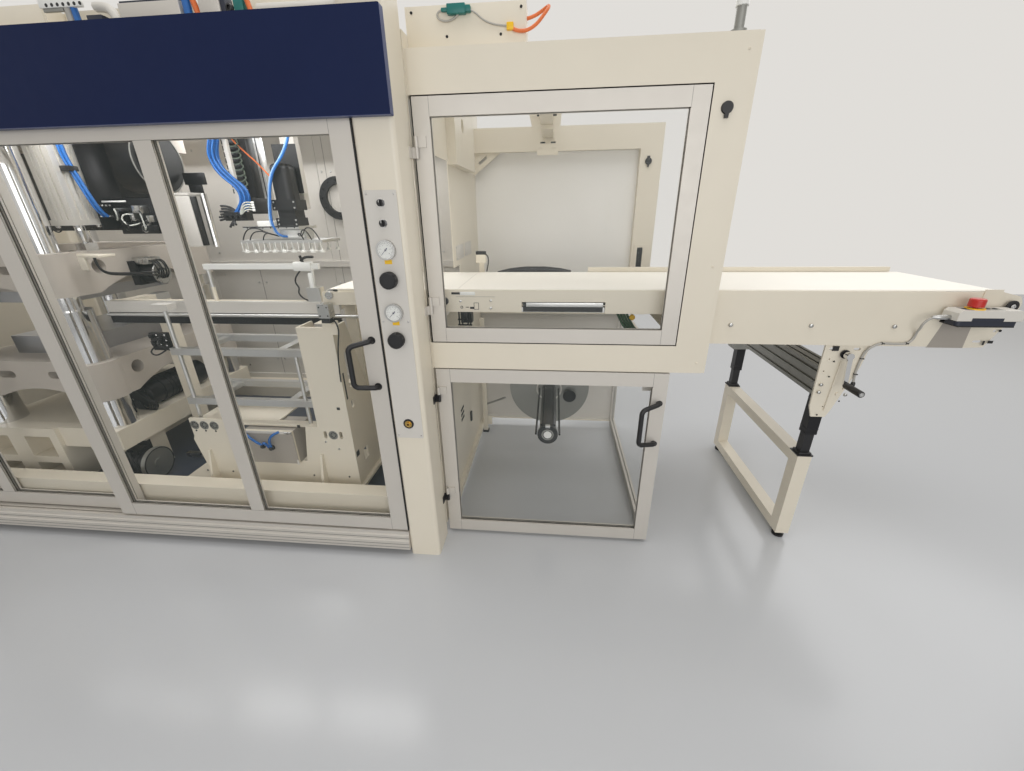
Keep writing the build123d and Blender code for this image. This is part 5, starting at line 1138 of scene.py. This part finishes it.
WALL_Y = 0.7715
plates("wall_joints", [
    ((-0.5745, -0.0007, 1.172), (-0.5725, 0, 1.992)), ((-1.216, -0.0007, 0.284), (-1.214, 0, 1.148)),
    ((-0.5745, -0.0007, 0.284), (-0.5725, 0, 1.148))
], "black", y0=WALL_Y)
spots = [(-0.573 + side * 0.032, WALL_Y, z) for z in (1.755, 1.026, 0.42) for side in (-1, 1)]
spots += [(-1.215 + side * 0.03, WALL_Y, z) for z in (1.026, 0.42) for side in (-1, 1)]
spots += [(x, WALL_Y, z) for x in (-2.4, -1.66, -1.5, 0.19) for z in (1.9, 1.24, 1.08, 0.36)]
screws("wall_fasteners", spots, 0.0075, "steel", 0.4)

# End wall and the guard behind the window: square covers, lock cap, slots and screws

COVER_FRONTS = (-0.02, 0.2)
COVER_FACE = END_X + 0.0015
plates("wall_covers", [(
    (END_X, y, 1.262), (COVER_FACE, y + 0.19, 1.336)
) for y in COVER_FRONTS], "light_grey", 0.0008)
screws("wall_cover_screws", [
    (COVER_FACE, y + a, z) for y in COVER_FRONTS for a in (0.012, 0.178) for z in (1.272, 1.326)
], 0.0032, "steel", outward="+x")
mesh = bmesh.new()
turned(mesh, knob_profile(0.0185, 0.005, 0.015, 0.0075), (LOCK_X, 0.5921, 1.752), "-y", 32)
box_mesh(mesh, (1.488, 0.586, 1.722), (1.498, 0.5921, 1.74), 0.001)
piece("rear_lock_cap", mesh, "black", body="rear_lock")
plates("bracket_slots", [
    ((x - 0.012, 0.1765, z - 0.0035), (x + 0.012, 0.1775, z + 0.0035))
    for x, z in ((0.871, 1.924), (0.943, 1.924), (0.889, 1.808), (0.941, 1.808))
], "black")
turnings("rear_lock_shield", [(
    ring_profile(0.0125, 0.0185, 0.003, 0.001), (LOCK_X, REAR_PORTAL_Y, 1.75), "+y", 32
)], "black")
screws("guard_corner_screws", [(1.532, PORTAL_Y, z) for z in (0.93, 1.3, 1.94)], 0.0042, "cream")

# Conveyor: belt seam, plate screws, slots, guards, rods, cables and roller ends

plates("belt_seam", [(
    (0.5655, -0.5045, BELT_TOP - 0.0002), (0.5665, -0.0025, BELT_TOP + 0.0003)
)], "taupe", body="conveyor")
screws(
    "conveyor_screws", [(0.578, 0, 1.156), (0.704, 0, 1.159), (0.703, 0, 1.128)], 0.0055, "steel",
    y0=NEAR_PLATE, body="conveyor"
)
screws("conveyor_bolts", [
    (x, NEAR_PLATE - 0.0035, 1.068) for x in (1.6645, 1.9655, 2.2665)
], 0.0085, "steel", body="conveyor")
plates("conveyor_slot", [
    ((0.598, -0.0004, 1.1295), (0.612, 0, 1.1325)), ((0.616, -0.0004, 1.1235), (0.6336, 0, 1.1325)),
    ((0.6326, -0.0004, 1.1212), (0.6346, 0, 1.15)), ((0.6514, -0.0004, 1.1212), (0.6534, 0, 1.15)),
    ((0.6346, -0.0004, 1.1212), (0.6514, 0, 1.123)), ((0.6346, -0.0004, 1.1482), (0.6514, 0, 1.15)),
    ((0.558, -0.0003, 1.1738), (0.722, 0, 1.1746))
], "black", y0=NEAR_PLATE, body="conveyor")
turnings("conveyor_slot_ring", [(
    ring_profile(0.0035, 0.0058, 0.0008, 0.0002), (0.5814, NEAR_PLATE, 1.1309), "-y", 24
)], "black", body="conveyor")
plates("drive_rail", [(
    (0.849, -0.5122, 1.1335), (1.16, -0.5088, 1.1505)
)], "aluminium", 0.0005, body="conveyor")
plates("drive_gap", [
    ((0.836, -0.5108, 1.1125), (1.16, -0.5088, 1.1335)),
    ((0.836, -0.5108, 1.1335), (0.849, -0.5088, 1.1505))
], "black", body="conveyor")
plates("rod_box", [((0.556, -0.44, 1.044), (0.606, -0.4, 1.114))], "black", 0.002, body="conveyor")
plates("belt_edge_line", [(
    (0.84, -0.4935, BELT_TOP - 0.0002), (2.54, -0.492, BELT_TOP + 0.0003)
)], "light_grey", body="conveyor", slot="belt_white")
turnings("rear_hood", [([
    (0, 0), (0.01, 0), (0.026, 0.07), (0.034, 0.15), (0.034, 0.25), (0.026, 0.33), (0.014, 0.39), (0, 0.39)
], (0.66, 0.062, 1.19), "+x", 32)], "black", body="conveyor")
hoses("sensor_lead", [[
    (0.606, -0.002, 1.292), (0.618, -0.004, 1.29), (0.624, -0.006, 1.262), (0.616, -0.008, 1.226),
    (0.612, -0.01, 1.208)
]], 0.003, "black", body="conveyor")
plates(
    "finger_guard", [((0.577, -0.0035, 1.18), (0.64, 0, 1.1945))], "white", 0.0015, y0=NEAR_PLATE,
    body="conveyor"
)
plates(
    "finger_guard_end", [((0.541, -0.003, 1.1835), (0.577, 0, 1.1925))], "black", 0.0015, y0=NEAR_PLATE,
    body="conveyor"
)
turnings("inner_roller_boss", [([
    (0, -SINK), (0.0155, -SINK), (0.0155, 0.006), (0.012, 0.008), (0.006, 0.008), (0.0055, 0.005),
    (0, 0.005)
], (0.512, NEAR_PLATE, 1.156), "-y", 24)], "black_steel", body="conveyor")
hoses(
    "hanging_rods",
    [[(x, -0.45, 1.118), (x, -0.45, 1.036)] for x in (0.552, 0.566, 0.59, 0.602)] + [
        [(0.546, -0.45, 1.038), (0.608, -0.45, 1.038)], [(0.546, -0.45, 1.062), (0.608, -0.45, 1.062)]
    ],
    0.0036, "black_steel", body="conveyor", order=2
)
routes = []
for step in range(4):
    x = 1.222 + 0.0135 * step
    y = -0.34 + 0.004 * step
    routes.append([
        (x, y, 1.122), (x + 0.028, y, 1.0585), (x + 0.065, y, 0.998), (x + 0.11, y + 0.004, 0.958),
        (x + 0.17, y + 0.006, 0.95), (x + 0.225, y + 0.006, 0.985), (x + 0.26, y + 0.006, 1.06)
    ])
hoses("drive_cables", routes, 0.0056, "green_dark", body="conveyor")
turnings("round_plug", [(
    knob_profile(0.0125, 0.01, 0.0105, 0.0135), (1.309, -0.352, 1.056), "-y", 24
)], "yellow", body="conveyor")
hoses(
    "round_plug_stem", [[(1.309, -0.346, 1.12), (1.309, -0.346, 1.056)]], 0.0045, "black", body="conveyor",
    order=2
)
screws("end_plate_screws", [(2.641, NEAR_PLATE, 1.055)], 0.005, "black_steel", body="conveyor")
plates("end_plate_slots", [
    ((2.598, -0.0004, 0.998), (2.606, 0, 1.015)), ((2.616, -0.0004, 1.005), (2.634, 0, 1.016))
], "black", y0=NEAR_PLATE, body="conveyor")
END_ROLLER = (2.6305, -0.5285, 1.15)
turnings("end_roller_collar", [
    (ring_profile(0.011, 0.0215, 0.0055, 0.0018), END_ROLLER, "-y", 32),
    ([(0, -SINK), (0.0165, -SINK), (0.0165, 0.002), (0, 0.002)], END_ROLLER, "-y", 24)
], "black", body="end_roller")
turnings("end_roller_hub", [([
    (0, 0.0018), (0.0085, 0.0018), (0.0085, 0.007), (0.0065, 0.009), (0.003, 0.009), (0.0025, 0.006),
    (0, 0.006)
], END_ROLLER, "-y", 24)], "chrome", body="end_roller")

# Pendant: cable, strain relief, ties, end gland, and the pad and keys of the case

CABLE_ROUTE = (
    (2.3705, -0.5655, 1.117), (2.3565, -0.5655, 1.117), (2.3435, -0.5645, 1.111), (2.3345, -0.5615, 1.101),
    (2.3305, -0.5565, 1.086), (2.3365, -0.5465, 1.069), (2.3445, -0.5285, 1.051), (2.3485, -0.5225, 1.033),
    (2.3455, -0.5215, 1.018), (2.3355, -0.5215, 1.006), (2.3205, -0.5215, 1.001), (2.2945, -0.5215, 1.0),
    (2.2665, -0.5215, 1.001), (2.2415, -0.5215, 1.002), (2.2215, -0.5215, 0.995), (2.2065, -0.5195, 0.982),
    (2.1965, -0.5151, 0.965), (2.1915, -0.5131, 0.943), (2.1875, -0.5131, 0.907), (2.1855, -0.5131, 0.865),
    (2.1905, -0.5131, 0.826)
)
cable = hoses("pendant_lead", [CABLE_ROUTE], 0.0046, "cable", body="conveyor")
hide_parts("pendant_cable")
turnings("lead_strain_relief", [([
    (0, -0.002), (0.0088, -0.002), (0.0088, 0.006), (0.0076, 0.008), (0.006, 0.02), (0.0046, 0.026),
    (0, 0.026)
], (2.3705, -0.5655, 1.117), "-x", 24)], "steel", body="conveyor")
mesh = bmesh.new()
for place, way in (
    ((2.2395, -0.5215, 1.001), "+x"), ((2.326, -0.5215, 1.0025), "+x"), ((2.1905, -0.5132, 0.935), "+z"),
    ((2.1857, -0.5132, 0.868), "+z")
):
    turned(mesh, [
        (0.0038, -0.0018), (0.0054, -0.0018), (0.0054, 0.0018), (0.0038, 0.0018), (0.0038, -0.0018)
    ], place, way, 16)
    box_mesh(
        mesh, (place[0] + 0.003, place[1] - 0.0068, place[2] - 0.0022),
        (place[0] + 0.0075, place[1] - 0.003, place[2] + 0.0022)
    )
piece("lead_ties", mesh, "black", body="conveyor")
turnings("lead_end_gland", [([
    (0, -0.002), (0.008, -0.002), (0.008, 0.01), (0.0055, 0.016), (0, 0.016)
], (2.1908, -0.5131, 0.818), "+z", 20)], "black", body="conveyor")
plates(
    "pendant_pad", [((2.432, -0.587, 1.1478), (2.56, -0.544, 1.1488))], "beam_grey", 0.0004,
    body="conveyor", slot="black_plastic"
)
turnings("pendant_keys", [
    (knob_profile(0.007, 0.0016, 0.0055, 0.0024), (x, -0.5655, 1.1487), "+z", 20)
    for x in (2.4405, 2.518, 2.542)
], "black", body="conveyor")
plates("pendant_case_joint", [(
    (PENDANT_X + 0.003, -0.5988, 1.1096), (PENDANT_X + 0.209, -0.5982, 1.1102)
)], "black", body="conveyor")

# Stand: bolts, crank bearing and nut, grip end, collars and ridges on the black sleeves

screws("gusset_bolts", [
    (POST_X - 0.028, 0, 0.818), (POST_X - 0.028, 0, 0.784), (POST_X + 0.077, 0, 0.776)
], 0.0078, "steel", 0.8, y0=STAND_FACE, body="conveyor")
screws("gusset_rivets", [
    (2.0927, 0, 0.9199), (2.0912, 0, 0.8541), (2.159, 0, 0.7458), (2.0893, 0, 0.6792)
], 0.0034, "black_steel", y0=STAND_FACE, body="conveyor")
# Painted shade: a black plate inside the gusset's slot darkens the hole
plates("gusset_slot_painted_shade", [((2.074, -0.5118, 0.964), (2.098, -0.5105, 0.984))], "black", body="conveyor")
hoses("gusset_ridge", [[
    (2.12, -0.5136, 0.92), (2.115, -0.5138, 0.81), (2.111, -0.5136, 0.7)
]], 0.0022, "cream", body="conveyor")
CRANK_X = 2.1245
CRANK_Z = 0.952
turnings("crank_bearing", [(
    ring_profile(0.0095, 0.0175, 0.006, 0.0015), (CRANK_X, STAND_FACE, CRANK_Z), "-y", 32
)], "black_steel", body="conveyor")
turnings("crank_nut", [([
    (0, -0.0005), (0.01, -0.0005), (0.01, 0.004), (0.0075, 0.006), (0, 0.006)
], (CRANK_X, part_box("crank")[0].y + 0.1125, CRANK_Z), "-y", 20)], "steel", body="crank", slot="chrome")
turnings("crank_grip_ring", [(
    ring_profile(0.0045, 0.0085, 0.0012, 0.0004), (2.1375, -0.6466, 0.833), "-y", 24
)], "steel", body="crank_grip")
LEG_CENTRES = (-0.4765, 0.3185)
COLLAR = 0.027
RIDGE = 0.0252
plates("leg_collars", [(
    (POST_X - COLLAR, y - COLLAR, 0.466), (POST_X + COLLAR, y + COLLAR, 0.484)
) for y in LEG_CENTRES], "black", 0.003)
plates("sleeve_ridges", [
    ((POST_X - RIDGE, y - RIDGE, z), (POST_X + RIDGE, y + RIDGE, z + 0.005))
    for y in LEG_CENTRES
    for z in (0.58, 0.6, 0.735, 0.755)
], "black_steel", 0.0012, body="conveyor")

# Cabinet: winder nose, flange rings, wall slots, rear post, side rail grooves and joint lines

SHAFT_X = 0.9485
SHAFT_Z = 0.48
SHAFT_END = (SHAFT_X, -0.4165, SHAFT_Z)
turnings("winder_nose_cap", [(
    knob_profile(0.0195, 0.0015, 0.017, 0.0035), SHAFT_END, "-y", 32
)], "white", body="winder")
turnings("winder_nose_ring", [(
    ring_profile(0.023, 0.03, 0.0016, 0.0005), SHAFT_END, "-y", 40
)], "beam_grey", body="winder")
plates("winder_notch", [(
    (SHAFT_X - 0.012, -0.417, SHAFT_Z + 0.036), (SHAFT_X + 0.012, -0.4, SHAFT_Z + 0.0505)
)], "steel", 0.002, body="winder")
turnings("flange_rings", [(
    ring_profile(0.07, 0.078, 0.004, 0.001), (SHAFT_X, 0.1535, SHAFT_Z), "-y", 48
)], "light_grey", body="winder")
# Painted shade: a dark disc on the flange stands for the shade inside its hole
turnings("flange_hole_painted_shade", [([
    (0, -SINK), (0.04, -SINK), (0.04, 0.001), (0, 0.001)
], (1.0745, 0.1535, 0.4335), "-y", 40)], "black_steel", body="winder")
slots = []
for z in (0.392, 0.392 + 0.03, 0.392 + 0.06):
    for column in range(5):
        y = -0.148 + 0.016 * column
        slots.append(((END_X, y, z), (END_X + 0.0028, y + 0.004, z + 0.016)))
slots.append(((END_X, 0.088, 0.272), (END_X + 0.01, 0.112, 0.334)))
plates("cabinet_wall_slots", slots, "black")
plates("cabinet_post", [
    ((0.478, 0.438, 0.014), (0.508, 0.468, 0.846)), ((0.508, 0.444, 0.06), (0.54, 0.45, 0.128))
], "cream", 0.002)
plates("cabinet_post_foot", [((0.472, 0.432, 0.0), (0.514, 0.474, 0.015))], "black", 0.002)
hoses("cabinet_lever", [[
    (0.508, 0.452, 0.222), (0.54, 0.45, 0.236), (0.59, 0.45, 0.256), (0.64, 0.452, 0.276)
]], 0.007, "beam_grey")
plates("cabinet_corner", [((1.349, -0.529, 0.778), (1.392, -0.527, 0.796))], "frame_silver")
plates("side_rail_grooves", [
    ((1.404, -0.556, z), (1.4046, 0.644, z + 0.0022)) for z in (0.014, 0.028, 0.04)
], "black_steel")
turnings("cabinet_handle_rings", [
    (ring_profile(0.008, 0.013, 0.0035, 0.0012), (1.411, PORTAL_Y, z), "-y", 28) for z in (0.555, 0.748)
], "black", body="cabinet_door")
for name, (low, high), profile, body in GUARD_DOORS:
    lines = [
        ((x - LINE_HALF, PORTAL_Y - LINE_RISE, z0), (x + LINE_HALF, PORTAL_Y + 0.0003, z1))
        for x in (low[0] + profile, high[0] - profile)
        for z0, z1 in ((low[1], low[1] + profile), (high[1] - profile, high[1]))
    ]
    plates(f"{name}_joint_lines", lines, "black", body=body)

# Roof: duct cover, terminals, trunking and cables, and the cover, plug and cables over the guard

TOP_Y = -0.745
plates("duct_cover", [((-2.5025, -0.7152, 2.0345), (-0.64, -0.7136, 2.105))], "cream", 0.0005)
plates("terminal_strip", [((-0.612, TOP_Y, 2.082), (-0.473, TOP_Y + 0.012, 2.1045))], "white", 0.0015)
screws("terminal_holes", [
    (-0.586 + 0.0188 * step, TOP_Y, 2.0885) for step in range(7)
], 0.005, "black", 0.1)
plates(
    "terminal_rail", [((-0.604, 0.002, 2.073), (-0.537, 0.01, 2.0815))], "beam_grey", 0.001, y0=TOP_Y,
    slot="dark_steel"
)
for name, material, x, lean, radius in (
    ("roof_cable_grey", "cable", -0.529, 0.0, 0.0105), ("roof_cable_blue", "blue", -0.509, 0.001, 0.009),
    ("roof_hose_blue", "blue", -0.142, 0.0, 0.012), ("roof_hose_orange", "orange", -0.115, 0.007, 0.0085),
    ("roof_hose_thin", "orange", 0.051, 0.007, 0.0075)
):
    high = 2.084 if x < -0.2 else 2.096
    hoses(name, [[
        (x - lean, 0.012, high), (x, 0.012, 2.06), (x + lean, 0.012, 2.0355)
    ]], radius, material, y0=TOP_Y, slot="cable_grey")
plates("roof_trunking", [
    ((-0.355, 0, 2.035), (-0.158, 0.045, 2.083)), ((-0.098, 0, 2.035), (-0.032, 0.045, 2.104))
], "frame_silver", 0.003, y0=TOP_Y, slot="grey_panel")
plates("roof_trunking_dark", [
    ((-0.35, 0.004, 2.083), (-0.163, 0.041, 2.088)), ((-0.032, 0.004, 2.035), (-0.017, 0.041, 2.1)),
    ((-0.47, 0.004, 2.035), (-0.42, 0.03, 2.061))
], "slate", 0.001, y0=TOP_Y)
hoses("roof_bundle", [[
    (-0.462, 0.04, 2.092), (-0.42, 0.03, 2.088), (-0.392, 0.024, 2.07), (-0.38, 0.02, 2.036)
]], 0.013, "shell", y0=TOP_Y)
plates("roof_plug", [
    ((0.01, 0, 2.04), (0.04, 0.024, 2.076)), ((0.016, 0.004, 2.076), (0.034, 0.02, 2.086))
], "teal", 0.003, y0=TOP_Y)
screws("roof_sensor", [(-0.003, TOP_Y + 0.004, 2.056)], 0.012, "black")
hoses(
    "roof_pipe", [[(0.07, 0.03, 2.056), (0.42, 0.03, 2.053)]], 0.017, "shell", y0=TOP_Y,
    slot="white_plastic", order=2
)
plates("roof_edge", [
    ((-0.628, -0.655, 2.0345), (0.3, -0.652, 2.106)), ((-0.628, -0.652, 2.103), (0.3, -0.56, 2.106))
], "cream", 0.001)
COVER_Y = -0.5385
plates("guard_top_cover", [
    ((0.459, -0.003, 1.9855), (0.852, 0, 2.106)), ((0.459, 0, 2.103), (0.852, 0.09, 2.106)),
    ((0.849, 0, 1.9855), (0.852, 0.09, 2.106)), ((0.459, 0, 1.9855), (0.852, 0.02, 1.9885))
], "cream", 0.001, y0=COVER_Y)
plates("guard_plug", [
    ((0.6, -0.022, 2.076), (0.66, -0.002, 2.103)), ((0.656, -0.02, 2.08), (0.676, -0.002, 2.098)),
    ((0.58, -0.014, 2.085), (0.601, -0.004, 2.096))
], "teal", 0.003, y0=COVER_Y)
hoses("guard_cable_grey", [
    [
        (0.676, -0.01, 2.086), (0.69, -0.01, 2.08), (0.712, -0.008, 2.062), (0.74, -0.007, 2.05),
        (0.772, -0.008, 2.044), (0.802, -0.01, 2.04)
    ],
    [
        (0.58, -0.009, 2.09), (0.566, -0.008, 2.086), (0.566, -0.007, 2.07), (0.592, -0.007, 2.061),
        (0.62, -0.008, 2.066), (0.636, -0.01, 2.078)
    ]
], 0.0028, "cable", y0=COVER_Y)
hoses("guard_cable_orange", [[
    (0.798, -0.008, 2.046), (0.806, -0.009, 2.034), (0.83, -0.01, 2.026), (0.858, -0.01, 2.027),
    (0.886, -0.008, 2.042), (0.908, -0.004, 2.066), (0.924, 0.006, 2.088), (0.922, 0.026, 2.098),
    (0.9, 0.04, 2.09), (0.872, 0.044, 2.078), (0.85, 0.044, 2.074)
]], 0.0052, "orange", y0=COVER_Y)
plates(
    "guard_cable_tape", [((0.79, -0.016, 2.03), (0.812, -0.003, 2.05))], "yellow", 0.002, y0=COVER_Y,
    slot="cable_grey"
)
screws("guard_cover_screws", [
    (0.593, -0.003, 2.024), (0.77, -0.003, 2.023), (0.48, -0.003, 2.09), (0.836, -0.003, 2.09)
], 0.0044, "black_steel", y0=COVER_Y)

# Caps in the open tops of the corner columns

COLUMN_SIZE = (0.14, 0.16)
COLUMN_WALL = 0.0042
plates("column_caps", [
    (
        (x + COLUMN_WALL, y + COLUMN_WALL, 2.102),
        (x + COLUMN_SIZE[0] - COLUMN_WALL, y + COLUMN_SIZE[1] - COLUMN_WALL, 2.1092)
    )
    for x in (LEFT_END, END_X - COLUMN_SIZE[0])
    for y in (FRONT_Y, REAR_Y - COLUMN_SIZE[1])
], "cream", 0.003)

# Stage: floor, world and lamps

FLOOR_SIZE = 30.0
FLOOR_REAR = 6.0
FLOOR_COLOUR = (196, 198, 201)
FLOOR_ROUGH = 0.2
SKY_COLOUR = (245, 242, 237)
SKY_LIGHT = 0.5
SKY_SEEN = 0.82
floor_material, _, shader, _ = new_material("pale_floor")
shader["Base Color"].default_value = linear(*FLOOR_COLOUR)
shader["Roughness"].default_value = FLOOR_ROUGH
mesh = bmesh.new()
bmesh.ops.create_grid(mesh, x_segments=1, y_segments=1, size=FLOOR_SIZE)
bmesh.ops.translate(mesh, verts=mesh.verts[:], vec=(0, FLOOR_REAR - FLOOR_SIZE, 0))
data = bpy.data.meshes.new("floor")
mesh.to_mesh(data)
mesh.free()
data.materials.append(floor_material)
ground = bpy.data.objects.new("floor", data)
scene.collection.objects.link(ground)

world = bpy.data.worlds.new("studio")
scene.world = world
world.use_nodes = True
tree = world.node_tree
sky = tree.nodes["Background"].inputs
sky["Color"].default_value = linear(*SKY_COLOUR)
rays = make(tree, "ShaderNodeLightPath").outputs
seen = reckon(tree, "MAXIMUM", rays["Is Camera Ray"], rays["Is Glossy Ray"])
seen = reckon(tree, "MAXIMUM", seen, rays["Is Transmission Ray"])
feed(tree, mixed(tree, seen, SKY_LIGHT, SKY_SEEN), sky["Strength"])


def lamp(name, place, aim, width, height, power):
    """A soft rectangular lamp that no camera ray sees."""
    data = bpy.data.lights.new(name, "AREA")
    data.shape = "RECTANGLE"
    data.size = width
    data.size_y = height
    data.energy = power
    item = bpy.data.objects.new(name, data)
    item.location = place
    item.rotation_euler = (Vector(aim) - Vector(place)).to_track_quat("-Z", "Y").to_euler()
    item.visible_camera = False
    scene.collection.objects.link(item)


lamp("key", (1.4, -4.8, 1.7), (0.3, 0, 0.5), 5.0, 2.4, 72)
lamp("top", (1.3, -0.9, 4.8), (1.3, -0.2, 0.5), 4.0, 2.0, 58)
lamp("fill", (5.0, 2.5, 4.0), (1.0, 0, 1.0), 4.0, 3.0, 60)
lamp("rear", (-1.0, 5.0, 4.0), (-0.5, 0.5, 1.0), 5.0, 3.0, 70)
lamp("bay", (-1.1, -0.45, 1.93), (-1.1, 0.1, 0.6), 2.6, 0.25, 15)
lamp("bay_rear", (-1.1, 0.55, 1.9), (-1.1, 0.1, 0.7), 2.6, 0.25, 11)
